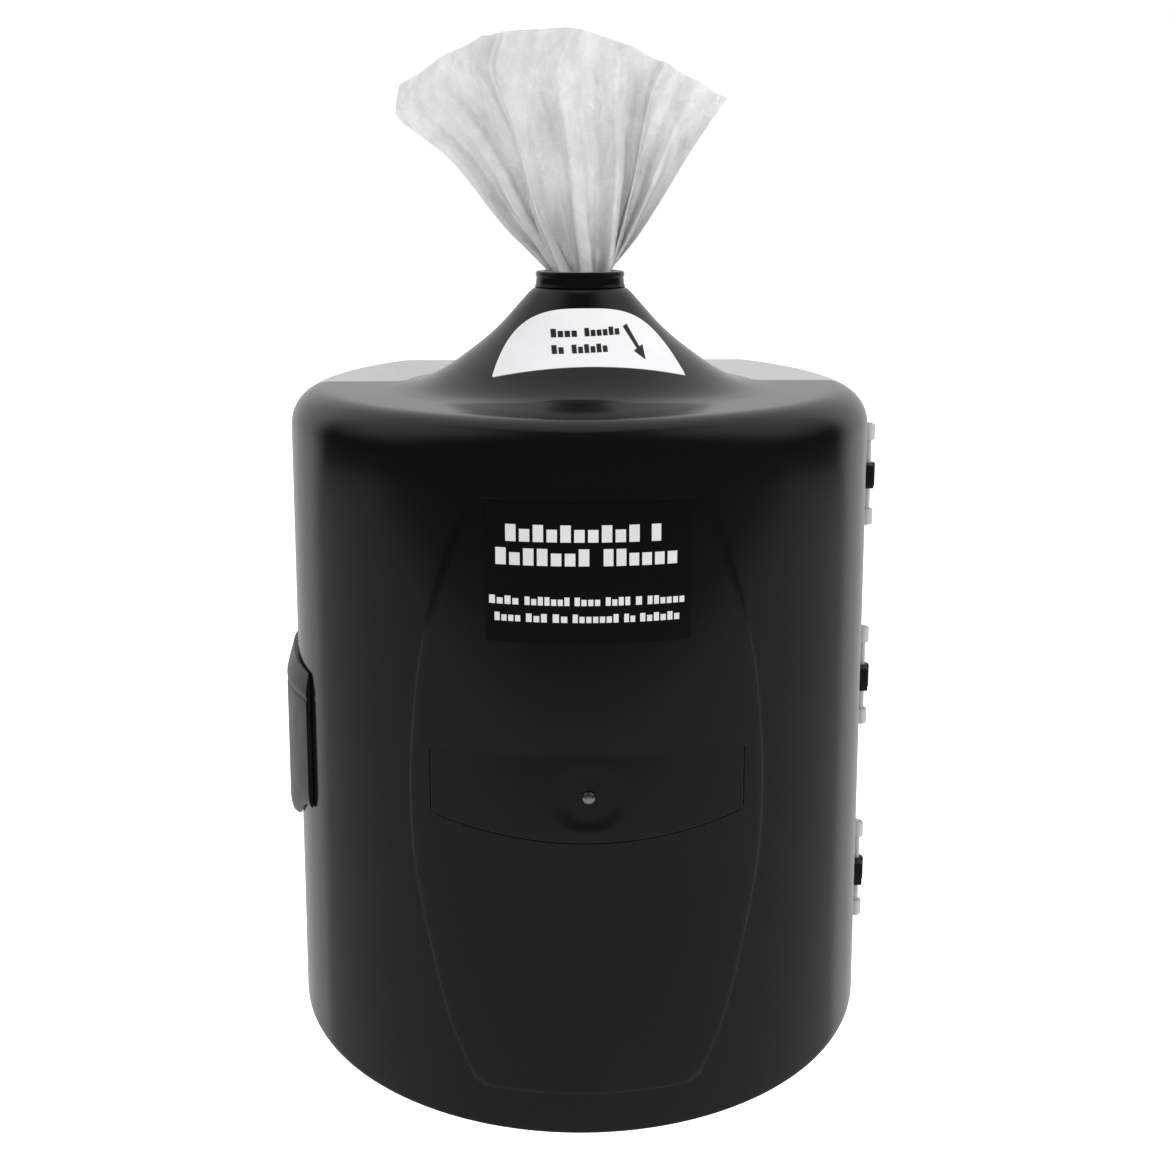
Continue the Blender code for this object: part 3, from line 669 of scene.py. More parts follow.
        # the seam crossing slides round as the radius shrinks, so that the front part
        # keeps its straight edge only outside the flange
        aj = math.asin(min(1.0, dy / max(r, r_flange)))
        s0, s1 = -math.pi - aj, aj
        row = []
        for k in range(n_cols):
            a = s0 + (angles[k] - t0) / (t1 - t0) * (s1 - s0)
            row.append(put(r * math.cos(a), NOZZLE_Y + r * math.sin(a), BODY_H + z))
        front_rows.append(row)
        if r <= r_flange + 1e-6:
            rear = [row[-1]]
            for k in range(1, n_rear):
                a = s1 + (math.pi - 2 * aj) * k / n_rear
                rear.append(put(r * math.cos(a), NOZZLE_Y + r * math.sin(a), BODY_H + z))
            rear.append(row[0])
            rear_rows.append(rear)
    faces = grid_faces(rows)
    faces += grid_faces(front_rows)
    faces += grid_faces(rear_rows)

    # leave the latch window open
    def in_window(f):
        xs = sum(verts[i][0] for i in f) / len(f)
        ys = sum(verts[i][1] for i in f) / len(f)
        hs = sum(verts[i][2] for i in f) / len(f)
        if not (win_lo < hs < win_hi) or xs > 0:
            return False
        d = Vector((xs, ys, 0)) - LP
        t = d.dot(LT)
        return -2.4 < t < 9.0 and abs(d.dot(LN) - LATCH_DEPTH) < 3.0

    faces = [f for f in faces if not in_window(f)]
    ob = new_object("door_shell_skin", verts, faces, [M_DOOR], None)
    outward(ob)
    bm = bmesh.new()
    bm.from_mesh(ob.data)
    # all normals must point away from the middle of the body
    mid = Vector(P(0.0, NOZZLE_Y, 150.0))
    score = sum((f.calc_center_median() - mid).dot(f.normal) * f.calc_area() for f in bm.faces)
    if score < 0:
        bmesh.ops.reverse_faces(bm, faces=bm.faces)
    bm.to_mesh(ob.data)
    bm.free()
    sol = ob.modifiers.new("wall", "SOLIDIFY")
    sol.thickness = 2.9 * MM
    sol.offset = -1.0
    sol.use_even_offset = True
    bake_modifiers(ob)
    ob.data.shade_smooth()
    ob.data.set_sharp_from_angle(angle=math.radians(50.0))
    return ob


# ---------------------------------------------------------------- latch
_lx, _ly = door_point(LATCH_PHI, -LATCH_DEPTH)
LP = Vector((-_lx, _ly, 0.0))
LN = Vector((-door_normal(LATCH_PHI).x, door_normal(LATCH_PHI).y, 0.0))
LT = Vector((LN.y, -LN.x, 0.0))
if LT.y < 0:
    LT = -LT


def build_latch():
    """Pull pad wrapped on the door's left flank, with a lipped top and a knuckle arm."""
    n_door, n_rear = 26, 9
    cols = []
    for k in range(n_door + 1):
        s = k / n_door
        phi = LATCH_PHI + (90.0 - LATCH_PHI) * s
        inn = 0.45 + 1.55 * smooth(0.72, 0.98, s)
        outer = 1.8 + 4.7 * smooth(-0.35, 1.0, s)
        cols.append((s, door_point(phi, inn), door_point(phi, outer)))
    for k in range(1, n_rear + 1):
        v = 10.4 * k / n_rear
        drop = 2.6 * (1 - math.sqrt(max(0.0, 1 - max(0.0, (v - 6.4) / 4.0) ** 2)))
        cols.append((1.0, (HALF_W + 2.0, SEAM_Y + v), (HALF_W + 6.5 - drop, SEAM_Y + v)))
    # keep: share of the pad's thickness up its height
    shape = []
    for k in range(9):
        t = k / 8
        shape.append((0.13 * t, 0.30 + 0.70 * math.sqrt(max(0.0, 1 - (1 - t) ** 2))))
    for k in range(1, 14):
        shape.append((0.13 + (0.782 - 0.13) * k / 13, 1.0))
    shape += [(0.790, 0.975), (0.797, 0.90), (0.804, 0.83), (0.812, 0.80), (0.820, 0.83), (0.827, 0.92), (0.833, 0.985),
              (0.842, 1.0), (0.855, 0.985)]
    for k in range(1, 9):
        t = k / 8
        shape.append((0.855 + 0.145 * t, 0.985 - 0.70 * t ** 1.15))
    rings = []
    for v, keep in shape:
        ring_in, ring_out = [], []
        for s, pi, po in cols:
            bot = LATCH_BOT_FRONT + (LATCH_BOT_REAR - LATCH_BOT_FRONT) * smooth(0.0, 0.8, s)
            h = bot + (LATCH_TOP - bot) * v
            q = (pi[0] + (po[0] - pi[0]) * keep, pi[1] + (po[1] - pi[1]) * keep)
            ring_in.append((-pi[0], pi[1], h))
            ring_out.append((-q[0], q[1], h))
        rings.append(ring_out + list(reversed(ring_in)))
    verts = [p for r in rings for p in r]
    n = len(rings[0])
    rows = [list(range(k * n, (k + 1) * n)) for k in range(len(rings))]
    faces = grid_faces(rows, closed=True)
    last = (len(rings) - 1) * n
    for i in range(n // 2 - 1):
        j = n - 1 - i
        faces.append((j, j - 1, i + 1, i))
        faces.append((last + i, last + i + 1, last + j - 1, last + j))
    pad = outward(new_object("latch_pad", verts, faces, [M_LATCH], 35.0))
    h0, h1 = LATCH_MID - 5.5, LATCH_MID + 5.5
    v = []
    for h in (h0, h1):
        for t in (1.5, 6.2):
            for nn in (-1.0, LATCH_DEPTH + 1.3):
                p = LP + LN * nn + LT * t
                v.append((p.x, p.y, h))
    f = [(0, 1, 3, 2), (4, 6, 7, 5), (0, 4, 5, 1), (1, 5, 7, 3), (3, 7, 6, 2), (2, 6, 4, 0)]
    arm = outward(new_object("arm", v, f, [M_LATCH], 30.0))
    cut(pad, arm, "UNION")
    hub = lathe("hub", [(0, h0), (3.1, h0), (3.1, h1), (0, h1)], LP.x, LP.y, [M_LATCH], 32)
    cut(pad, hub, "UNION")
    bore = lathe("bore", [(0, h0 - 5), (1.6, h0 - 5), (1.6, h1 + 5), (0, h1 + 5)], LP.x, LP.y, [M_LATCH], 24)
    cut(pad, bore)
    pad.data.shade_smooth()
    pad.data.set_sharp_from_angle(angle=math.radians(35.0))
    return pad


# -------------------------------------------------------------- housing
def housing_object():
    """The housing as a solid: outer loft, hollow and notch cut out, screw holes through."""
    front = SEAM_Y + SEAM_GAP

    def ring(h, e, yf, yb, n=26):
        right = [(rear_x(yf + (yb - yf) * k / n - SEAM_Y, -e), yf + (yb - yf) * k / n, h) for k in range(n + 1)]
        left = [(-x, y, hh) for x, y, hh in reversed(right)]
        return right + left

    def solid(name, levels, yf, yb):
        rings = [ring(h, e, yf, yb) for h, e in levels]
        n = len(rings[0])
        verts = [p for r in rings for p in r]
        rows = [list(range(k * n, (k + 1) * n)) for k in range(len(rings))]
        faces = grid_faces(rows, closed=True)
        last = (len(rings) - 1) * n
        for i in range(n // 2 - 1):
            j = n - 1 - i
            faces.append((j, j - 1, i + 1, i))
            faces.append((last + i, last + i + 1, last + j - 1, last + j))
        return outward(new_object(name, verts, faces, [M_GREY], 30.0))

    def rounded(top, r, steps):
        return [(top - r + r * math.sin(math.radians(90 * k / steps)), r - r * math.cos(math.radians(90 * k / steps)))
                for k in range(steps + 1)]

    levels = [(0.0, 1.8), (0.25, 1.0), (0.8, 0.35), (1.8, 0.0), (100.0, 0.0), (200.0, 0.0)] + rounded(BODY_H, SHOULDER_R, 12)
    body = solid("housing_shell", levels, front, 0.0)
    inner = [(WALL_T, WALL_T + 1.8), (WALL_T + 0.5, WALL_T + 0.5), (WALL_T + 1.8, WALL_T), (150.0, WALL_T)]
    inner += [(h, e + WALL_T) for h, e in rounded(BODY_H - WALL_T, SHOULDER_R - WALL_T, 10)]
    cut(body, solid("hollow", inner, front - 6.0, -WALL_T))
    cut(body, lathe("notch", [(0, BODY_H - 9), (86.7, BODY_H - 9), (86.7, BODY_H + 9), (0, BODY_H + 9)],
                    0.0, NOZZLE_Y, [M_GREY], 144))
    for x in (-70.0, 70.0):
        for h in (70.0, 250.0):
            tool = lathe("hole", [(0, -5), (2.8, -5), (2.8, 3), (0, 3)], 0.0, 0.0, [M_GREY], 32)
            # lathe turns about Z: lay it along Y
            rot = Matrix.Rotation(math.radians(-90.0), 4, "X")
            base = Matrix.Translation(Vector((0, 0, -Z_BASE * MM)))
            tool.data.transform(Matrix.Translation(Vector(P(x, 0.0, h))) @ rot @ base)
            cut(body, tool)
    bm = bmesh.new()
    bm.from_mesh(body.data)
    bmesh.ops.remove_doubles(bm, verts=bm.verts, dist=2e-5)
    bmesh.ops.dissolve_degenerate(bm, edges=bm.edges, dist=1e-5)
    bm.to_mesh(body.data)
    bm.free()
    body.data.shade_smooth()
    body.data.set_sharp_from_angle(angle=math.radians(28.0))
    return body


# ----------------------------------------------------------------- skins
def skin(name, cols, rows_h, lift, thick, mats, ids=None, angle=40.0):
    """A film on the door's front.  cols are x values, rows_h heights; ids(x, h)
    gives the material of the cell whose middle is there."""
    verts, faces, mat_ids = [], [], []
    nx = len(cols)

    def at(x, h, off):
        px, py = door_point(phi_of_x(x), off)
        return (px, py - SEAM_GAP, h)

    for off in (lift + thick, lift):
        for h in rows_h:
            for x in cols:
                verts.append(at(x, h, off))
    layer = nx * len(rows_h)
    for j in range(len(rows_h) - 1):
        for i in range(nx - 1):
            a = j * nx + i
            faces.append((a, a + 1, a + nx + 1, a + nx))
            mid = ((cols[i] + cols[i + 1]) / 2, (rows_h[j] + rows_h[j + 1]) / 2)
            mat_ids.append(ids(*mid) if ids else 0)
    for j in range(len(rows_h) - 1):
        for i in range(nx - 1):
            a = layer + j * nx + i
            faces.append((a, a + nx, a + nx + 1, a + 1))
            mat_ids.append(0)
    border = [i for i in range(nx)] + [j * nx + nx - 1 for j in range(1, len(rows_h))]
    border += [(len(rows_h) - 1) * nx + i for i in range(nx - 2, -1, -1)] + [j * nx for j in range(len(rows_h) - 2, 0, -1)]
    m = len(border)
    for k in range(m):
        a, b = border[k], border[(k + 1) % m]
        faces.append((a, layer + a, layer + b, b))
        mat_ids.append(0)
    return new_object(name, verts, faces, mats, angle, mat_ids)


def glyph_run(rng, x0, x1, h0, size, weight=0.62):
    """Blocks that stand for a word of print: no letters, only their rhythm."""
    blocks = []
    x = x0
    n = max(1, round((x1 - x0) / (size * 0.80)))
    w = (x1 - x0) / n
    for k in range(n):
        tall = 1.0 if (k == 0 or rng.random() < 0.28) else 0.74
        gap = w * 0.24
        blocks.append((x + gap * 0.5, x + w - gap * 0.5, h0, h0 + size * tall))
        x += w
    return blocks


def main_label():
    """Black label with two bold and two fine lines of block print."""
    rng = random.Random(7)
    cx = 0.2
    lines = []
    # (words as x spans, base height, block size)
    bold = [([(-34.0, 20.6), (24.2, 29.2)], 257.6, 7.0), ([(-38.0, 0.6), (5.0, 35.8)], 247.9, 7.0)]
    fine = [([(-40.4, -27.9), (-26.1, -7.6), (-6.2, 4.6), (6.2, 16.6), (18.2, 21.4), (23.0, 38.6)], 231.6, 3.5),
            ([(-38.2, -27.2), (-25.6, -16.6), (-15.0, -8.4), (-7.0, 12.0), (13.6, 18.6), (20.0, 36.6)], 224.6, 3.5)]
    blocks = []
    for spans, h, size in bold + fine:
        for a, b in spans:
            blocks += glyph_run(rng, a + cx, b + cx, h, size)
    half = 41.3
    low, high = 216.0, 273.4
    xs = {-half, half}
    hs = {low, high}
    for a, b, h0, h1 in blocks:
        xs |= {round(a, 2), round(b, 2)}
        hs |= {round(h0, 2), round(h1, 2)}
    for k in range(1, 28):
        xs.add(round(-half + 2 * half * k / 28, 2))
    for k in range(1, 12):
        hs.add(round(low + (high - low) * k / 12, 2))

    def thin(vals, tol):
        out = []
        for v in sorted(vals):
            if not out or v - out[-1] > tol:
                out.append(v)
        return out

    xs, hs = thin(xs, 0.02), thin(hs, 0.02)

    def ids(x, h):
        for a, b, h0, h1 in blocks:
            if a < x < b and h0 < h < h1:
                return 1
        return 0

    lift = PANEL_RISE + 0.12
    return skin("label_film", xs, hs, lift, 0.22, [M_LABEL, M_INK], ids, 50.0)


def cone_surface(a, z, lift):
    """Point on the flare's front, by angle from straight ahead and height above the top plane."""
    r = cone_r(z)
    e = 0.3
    dr = cone_r(z - e) - cone_r(z + e)
    nrm = Vector((2 * e, dr)).normalized()
    rr, zz = r + nrm.x * lift, z + nrm.y * lift
    return (rr * math.sin(a), NOZZLE_Y - rr * math.cos(a), BODY_H + zz)


def sticker_print():
    """Print on the sticker: two short lines of blocks and an arrow, as thin ink patches."""
    rng = random.Random(11)
    quads = []
    for spans, z0, size in (([(-17.0, -4.6), (-1.8, 15.0)], 26.2, 3.5), ([(-17.2, -11.2), (-8.2, 8.6)], 19.4, 3.5)):
        for a, b in spans:
            for x0, x1, h0, h1 in glyph_run(rng, a, b, z0, size):
                tilt = 0.035
                quads.append([(x0, h0 + x0 * tilt), (x1, h0 + x1 * tilt), (x1, h1 + x1 * tilt), (x0, h1 + x0 * tilt)])
    tail, tip = Vector((17.6, 30.6)), Vector((25.4, 16.2))
    d = (tip - tail).normalized()
    n = Vector((-d.y, d.x))
    neck = tip - d * 5.4
    quads.append([tuple(tail - n * 1.1), tuple(tail + n * 1.1), tuple(neck + n * 0.75), tuple(neck - n * 0.75)])
    quads.append([tuple(neck - n * 2.6), tuple(neck + n * 2.6), tuple(tip + n * 0.15), tuple(tip - n * 0.15)])
    verts, faces = [], []
    k = 5
    for q in quads:
        c = [Vector(p) for p in q]
        ids = {}
        for layer, lift in ((0, 0.62), (1, 0.47)):
            for j in range(k + 1):
                for i in range(k + 1):
                    u, v = i / k, j / k
                    p = (c[0] * (1 - u) + c[1] * u) * (1 - v) + (c[3] * (1 - u) + c[2] * u) * v
                    r = cone_r(p.y)
                    ids[layer, j, i] = len(verts)
                    verts.append(cone_surface(math.asin(max(-1.0, min(1.0, p.x / r))) + math.radians(STICKER_TURN), p.y, lift))
        for j in range(k):
            for i in range(k):
                faces.append((ids[0, j, i], ids[0, j, i + 1], ids[0, j + 1, i + 1], ids[0, j + 1, i]))
                faces.append((ids[1, j, i], ids[1, j + 1, i], ids[1, j + 1, i + 1], ids[1, j, i + 1]))
        ring = [(0, i) for i in range(k + 1)] + [(j, k) for j in range(1, k + 1)]
        ring += [(k, i) for i in range(k - 1, -1, -1)] + [(j, 0) for j in range(k - 1, 0, -1)]
        for (j0, i0), (j1, i1) in zip(ring, ring[1:] + ring[:1]):
            faces.append((ids[0, j0, i0], ids[1, j0, i0], ids[1, j1, i1], ids[0, j1, i1]))
    return outward(new_object("sticker_print", verts, faces, [M_PRINT], 50.0))


STICKER_TURN = 3.6


def sticker():
    """White segment-shaped film on the cone's front."""
    half_deg, turn = 42.5, STICKER_TURN
    na, nu = 96, 40
    z_end, z_lo, z_hi = 8.6, 13.9, 38.2
    lift1, lift0 = 0.45, 0.15

    def outline(u):
        low = z_lo + (z_end - z_lo) * u * u
        arch = max(0.0, 1.0 - abs(u) ** 2.9) ** 0.95
        return low, low + 0.6 + (z_hi - low - 0.6) * arch

    half_x = cone_r(z_end) * math.sin(math.radians(half_deg))

    verts, faces, ids = [], [], []
    grid = {}
    for layer, lift in ((0, lift1), (1, lift0)):
        for j in range(nu + 1):
            for i in range(na + 1):
                u = -1.0 + 2.0 * i / na
                lo, hi = outline(u)
                z = lo + (hi - lo) * j / nu
                grid[layer, j, i] = len(verts)
                a = math.asin(max(-0.97, min(0.97, half_x * u / cone_r(z))))
                verts.append(cone_surface(a + math.radians(turn), z, lift))
    for j in range(nu):
        for i in range(na):
            q = (grid[0, j, i], grid[0, j, i + 1], grid[0, j + 1, i + 1], grid[0, j + 1, i])
            faces.append(q)
            ids.append(0)
    for j in range(nu):
        for i in range(na):
            faces.append((grid[1, j, i], grid[1, j + 1, i], grid[1, j + 1, i + 1], grid[1, j, i + 1]))
            ids.append(0)
    border = [(0, i) for i in range(na + 1)] + [(j, na) for j in range(1, nu + 1)]
    border += [(nu, i) for i in range(na - 1, -1, -1)] + [(j, 0) for j in range(nu - 1, 0, -1)]
    for (j0, i0), (j1, i1) in zip(border, border[1:] + border[:1]):
        faces.append((grid[0, j0, i0], grid[1, j0, i0], grid[1, j1, i1], grid[0, j1, i1]))
        ids.append(0)
    return new_object("cone_sticker", verts, faces, [M_STICKER], 50.0, ids)


def badge():
    """Low shield on the panel: soft top, crisp sides and foot edged by a thin near-black matte strip of painted groove
    shadow, round dish in its middle.
    """
    half, corner = 65.8, 4.2

    def low(x):
        h = 130.6 + 7.4 * (x / half) ** 2
        over = abs(x) - (half - corner)
        if over > 0:
            h += 1.7 * (1 - math.sqrt(max(0.0, 1 - (over / corner) ** 2)))
        return h

    def high(x):
        return 168.5 - 3.0 * (x / half) ** 2

    rim = [0.0, 0.42, 0.46, 0.62, 0.80, 1.0, 1.25, 1.6, 2.2, 3.2]
    nx = 104
    xs = [-half + r for r in rim] + [(-half + 4.2) + 2 * (half - 4.2) * k / nx for k in range(nx + 1)] + [half - r for r in reversed(rim)]
    n_up = 46
    dish_r = 14.0
    verts, faces, ids = [], [], []
    g = {}
    for layer in (0, 1):
        for i, x in enumerate(xs):
            lo, hi = low(x), high(x)
            hs = [lo + r for r in rim] + [lo + 4.2 + (hi - lo - 4.2) * k / n_up for k in range(n_up + 1)]
            for j, h in enumerate(hs):
                slope = abs(14.8 * x / half ** 2)
                edge = min(half - abs(x), (h - lo) / math.hypot(1.0, slope))
                off = PANEL_RISE + 0.05
                if layer == 0:
                    rise = 0.72 * math.sqrt(max(0.0, 1 - (1 - max(0.0, min(1.0, (edge - 0.44) / 0.85))) ** 2))
                    rise *= min(1.0, (hi - h) / 32.0)
                    d = math.hypot(x, h - BADGE_H)
                    rise -= 0.26 * smooth(dish_r + 2.4, dish_r - 4.6, d) * min(1.0, (hi - h) / 32.0)
                    off += 0.05 + max(0.02, rise)
                px, py = door_point(phi_of_x(x), off)
                g[layer, j, i] = len(verts)
                verts.append((px, py - SEAM_GAP, h))
    ni, nj = len(xs), len(hs)
    for i in range(ni - 1):
        for j in range(nj - 1):
            # the outermost cells on the badge's sides and foot take the near-black matte film, painted groove shadow
            gap = i == 0 or i == ni - 2 or j == 0
            faces.append((g[0, j, i], g[0, j, i + 1], g[0, j + 1, i + 1], g[0, j + 1, i]))
            ids.append(1 if gap else 0)
            faces.append((g[1, j, i], g[1, j + 1, i], g[1, j + 1, i + 1], g[1, j, i + 1]))
            ids.append(0)
    border = [(0, i) for i in range(ni)] + [(j, ni - 1) for j in range(1, nj)]
    border += [(nj - 1, i) for i in range(ni - 2, -1, -1)] + [(j, 0) for j in range(nj - 2, 0, -1)]
    for (j0, i0), (j1, i1) in zip(border, border[1:] + border[:1]):
        faces.append((g[0, j0, i0], g[1, j0, i0], g[1, j1, i1], g[0, j1, i1]))
        ids.append(0)
    return new_object("badge_shield", verts, faces, [M_BADGE, M_PAINTED_GAP_SHADOW], 60.0, ids)


def turned_y(name, profile, cx, ch, mats, seg=40, angle=35.0):
    """Turn a (radius, y) profile about a line along Y."""
    ob = lathe(name, [(r, y) for r, y in profile], 0.0, 0.0, mats, seg, False, angle)
    # the lathe's height axis becomes Y
    base = Matrix.Translation(Vector((0, 0, -Z_BASE * MM)))
    rot = Matrix.Rotation(math.radians(-90.0), 4, "X")
    ob.data.transform(Matrix.Translation(Vector(P(cx, 0.0, ch))) @ rot @ base)
    return outward(ob)


# ------------------------------------------------------------------ wipe
FAN_LIFT = 0.985
FAN_H0 = 357.5


def _fan_pts(pts):
    return [(x, FAN_H0 + (h - FAN_H0) * FAN_LIFT) for x, h in pts]


# outline of the pulled-out wipe, seen from the front: left edge, right edge, free edge
FAN_LEFT = _fan_pts([(-9.5, 351.0), (-13.6, 357.5), (-24.6, 369.0), (-34.8, 378.9), (-43.4, 389.5), (-52.4, 402.0),
                     (-62.6, 414.2), (-75.0, 423.9), (-88.0, 433.4), (-87.6, 440.5), (-85.9, 448.5)])
FAN_RIGHT = _fan_pts([(8.5, 351.0), (12.2, 357.5), (20.6, 366.5), (28.2, 376.2), (35.7, 387.9), (43.4, 400.6),
                      (51.2, 414.0), (60.6, 428.6), (70.3, 442.7)])
FAN_FREE = _fan_pts([(-85.9, 448.5), (-67.3, 460.6), (-50.0, 468.6), (-44.0, 470.9), (-26.0, 473.6), (-9.9, 474.5),
                     (2.8, 473.2), (19.9, 467.6), (37.6, 460.0), (52.4, 452.4), (63.0, 446.2), (70.3, 442.7)])
# how the sheet runs at its free edge: share of its width, and the turn there (radians,
# + runs away from the viewer going right).  Towards the nozzle the same turns deepen into pleats.
FAN_TURNS = [(0.000, -0.20), (0.025, 0.30), (0.050, 0.34), (0.075, -0.45), (0.110, -0.55), (0.140, -0.10), (0.160, 0.32),
             (0.182, 0.10), (0.205, -0.50), (0.240, -0.62), (0.275, -0.70), (0.298, -0.55), (0.309, 0.60), (0.322, 1.45),
             (0.336, 0.95), (0.352, 0.10), (0.385, 0.30), (0.425, 0.12), (0.455, -0.30), (0.485, -0.38), (0.515, 0.05),
             (0.545, 0.42), (0.575, 0.22), (0.605, -0.22), (0.640, -0.30), (0.665, 0.30), (0.690, 0.52), (0.715, 0.30),
             (0.738, -0.35), (0.758, -1.05), (0.776, -0.80), (0.794, 0.62), (0.822, 0.80), (0.848, 0.20), (0.875, -0.45),
             (0.902, -0.38), (0.925, 0.50), (0.948, 0.48), (0.972, -0.35), (1.000, -0.50)]


def along(pts, t):
    """Point at a share of the length of a polyline, with rounded corners."""
    seg = [math.hypot(b[0] - a[0], b[1] - a[1]) for a, b in zip(pts, pts[1:])]
    want = t * sum(seg)
    for (a, b), ln in zip(zip(pts, pts[1:]), seg):
        if want <= ln or (a, b) == (pts[-2], pts[-1]):
            k = max(0.0, min(1.0, want / ln))
            return (a[0] + (b[0] - a[0]) * k, a[1] + (b[1] - a[1]) * k)
        want -= ln
    return pts[-1]


def soften(pts, rounds=2):
    for _ in range(rounds):
        out = [pts[0]]
        for a, b in zip(pts, pts[1:]):
            out.append((a[0] * 0.75 + b[0] * 0.25, a[1] * 0.75 + b[1] * 0.25))
            out.append((a[0] * 0.25 + b[0] * 0.75, a[1] * 0.25 + b[1] * 0.75))
        out.append(pts[-1])
        pts = out
    return pts


FAN_LEFT, FAN_RIGHT, FAN_FREE = soften(FAN_LEFT, 1), soften(FAN_RIGHT, 1), soften(FAN_FREE, 1)
SHEET_W = 203.0


def build_fan():
    """Nonwoven sheet gathered in the nozzle.  Every row keeps the sheet's full width:
    it turns left and right in plan, and the turns tighten as the row gets narrower."""
    ns, nv = 420, 150
    base = np.zeros(ns)
    fr = np.array([q[0] for q in FAN_TURNS])
    tv = np.array([q[1] for q in FAN_TURNS])
    s = (np.arange(ns) + 0.5) / ns
    for i in range(ns):
        k = min(max(int(np.searchsorted(fr, s[i]) - 1), 0), len(fr) - 2)
        t = (s[i] - fr[k]) / (fr[k + 1] - fr[k])
        t = smooth(0.22, 0.78, t)
        base[i] = tv[k] * (1 - t) + tv[k + 1] * t
    lim = 1.98
    ds = SHEET_W / ns
    u0, v0 = FAN_LEFT[0], FAN_RIGHT[0]
    u1, v1 = FAN_LEFT[-1], FAN_RIGHT[-1]

    def patch(u, v, edge_l, edge_r):
        bx = u0[0] + (v0[0] - u0[0]) * u
        bh = u0[1] + (v0[1] - u0[1]) * u
        tx, th = along(FAN_FREE, u)
        x = (1 - v) * bx + v * tx + (1 - u) * edge_l[0] + u * edge_r[0]
        h = (1 - v) * bh + v * th + (1 - u) * edge_l[1] + u * edge_r[1]
        x -= (1 - u) * (1 - v) * u0[0] + u * (1 - v) * v0[0] + (1 - u) * v * u1[0] + u * v * v1[0]
        h -= (1 - u) * (1 - v) * u0[1] + u * (1 - v) * v0[1] + (1 - u) * v * u1[1] + u * v * v1[1]
        return x, h

    verts, faces = [], []
    for j in range(nv + 1):
        v = (j / nv) ** 1.12
        el, er = along(FAN_LEFT, v), along(FAN_RIGHT, v)
        ruler = [patch(k / 24, v, el, er) for k in range(25)]
        width = sum(math.hypot(b[0] - a[0], b[1] - a[1]) for a, b in zip(ruler, ruler[1:]))
        # drifting of the folds along the sheet keeps the pleats from being ruled lines
        shift = 0.010 * math.sin(4.2 * v + 0.6) + 0.005 * math.sin(11.0 * v)
        row = np.interp(s + shift * np.sin(np.pi * s), s, base)
        lo, hi = 0.0, 40.0
        for _ in range(40):
            k = 0.5 * (lo + hi)
            th = lim * np.tanh(row * k / lim)
            if float(np.cos(th).sum() * ds) > width:
                lo = k
            else:
                hi = k
        th = lim * np.tanh(row * k / lim)
        cx = np.concatenate([[0.0], np.cumsum(np.cos(th) * ds)])
        cy = np.concatenate([[0.0], np.cumsum(np.sin(th) * ds)])
        cy -= np.linspace(0.0, 1.0, ns + 1) * cy[-1] * 0.85
        cy -= 0.5 * (cy.max() + cy.min())
        rim = 11.0 + 26.0 * v
        depth = float(np.abs(cy).max())
        if depth > rim:
            cy *= rim / depth
        cx /= cx[-1]
        for i in range(ns + 1):
            x, h = patch(float(cx[i]), v, el, er)
            w = i / ns
            y = float(cy[i]) - 7.0 * v * v * math.sin(math.pi * w) + 2.5 * v * math.sin(2.2 * w + 1.0)
            q = Vector((w * 10.0 + 2.0 * v, v * 7.0, 3.1))
            y += (1.0 * noise.noise(q) + 0.55 * noise.noise(Vector((w * 26.0 + 5.0 * v, v * 15.0, 7.7)))
                  + 0.75 * abs(noise.noise(Vector((w * 38.0 - 16.0 * v, v * 21.0, 1.7))))
                  + 0.60 * abs(noise.noise(Vector((w * 64.0 + 30.0 * v, v * 40.0, 9.2))))
                  + 0.32 * abs(noise.noise(Vector((w * 120.0 - 20.0 * v, v * 84.0, 4.4))))) * (0.25 + 0.75 * v)
            h += v ** 5 * (0.25 * noise.noise(Vector((w * 26.0, 1.7, 0.4))) - 1.3 * smooth(0.255, 0.300, w) * smooth(0.345, 0.318, w))
            verts.append((x, NOZZLE_Y + y, h))
    n = ns + 1
    for j in range(nv):
        for i in range(ns):
            a = j * n + i
            faces.append((a, a + 1, a + n + 1, a + n))
    ob = new_object("pulled_wipe", verts, faces, [M_WIPE], None)
    sol = ob.modifiers.new("sheet", "SOLIDIFY")
    sol.thickness, sol.offset = 0.35 * MM, 0.0
    return ob


def build_strand():
    """The wipe between the roll and the nozzle: a twisted, pleated rope."""
    h0, h1 = ROLL_Z + ROLL_H + 1.6, BODY_H + 51.8
    seg, n = 72, 90
    verts, rows = [], []
    for j in range(n + 1):
        t = j / n
        h = h0 + (h1 - h0) * t
        row = []
        flare = 1.0 + 0.35 * smooth(0.10, 0.0, t)
        for s in range(seg):
            a = 2 * math.pi * s / seg
            tw = a + 3.2 * t
            r = 4.2 + 0.75 * math.sin(7 * tw) + 0.45 * math.sin(12 * tw + 1.3) + 0.5 * noise.noise(Vector((math.cos(a) * 2, math.sin(a) * 2, h * 0.12)))
            r = min(4.95, r) * flare
            row.append(len(verts))
            verts.append((r * math.cos(a), NOZZLE_Y + r * math.sin(a), h))
        rows.append(row)
    faces = grid_faces(rows, closed=True)
    bot, top = len(verts), len(verts) + 1
    verts += [(0.0, NOZZLE_Y, h0), (0.0, NOZZLE_Y, h1)]
    for s in range(seg):
        t = (s + 1) % seg
        faces.append((bot, rows[0][t], rows[0][s]))
        faces.append((top, rows[-1][s], rows[-1][t]))
    return outward(new_object("wipe_rope", verts, faces, [M_STRAND], 60.0))


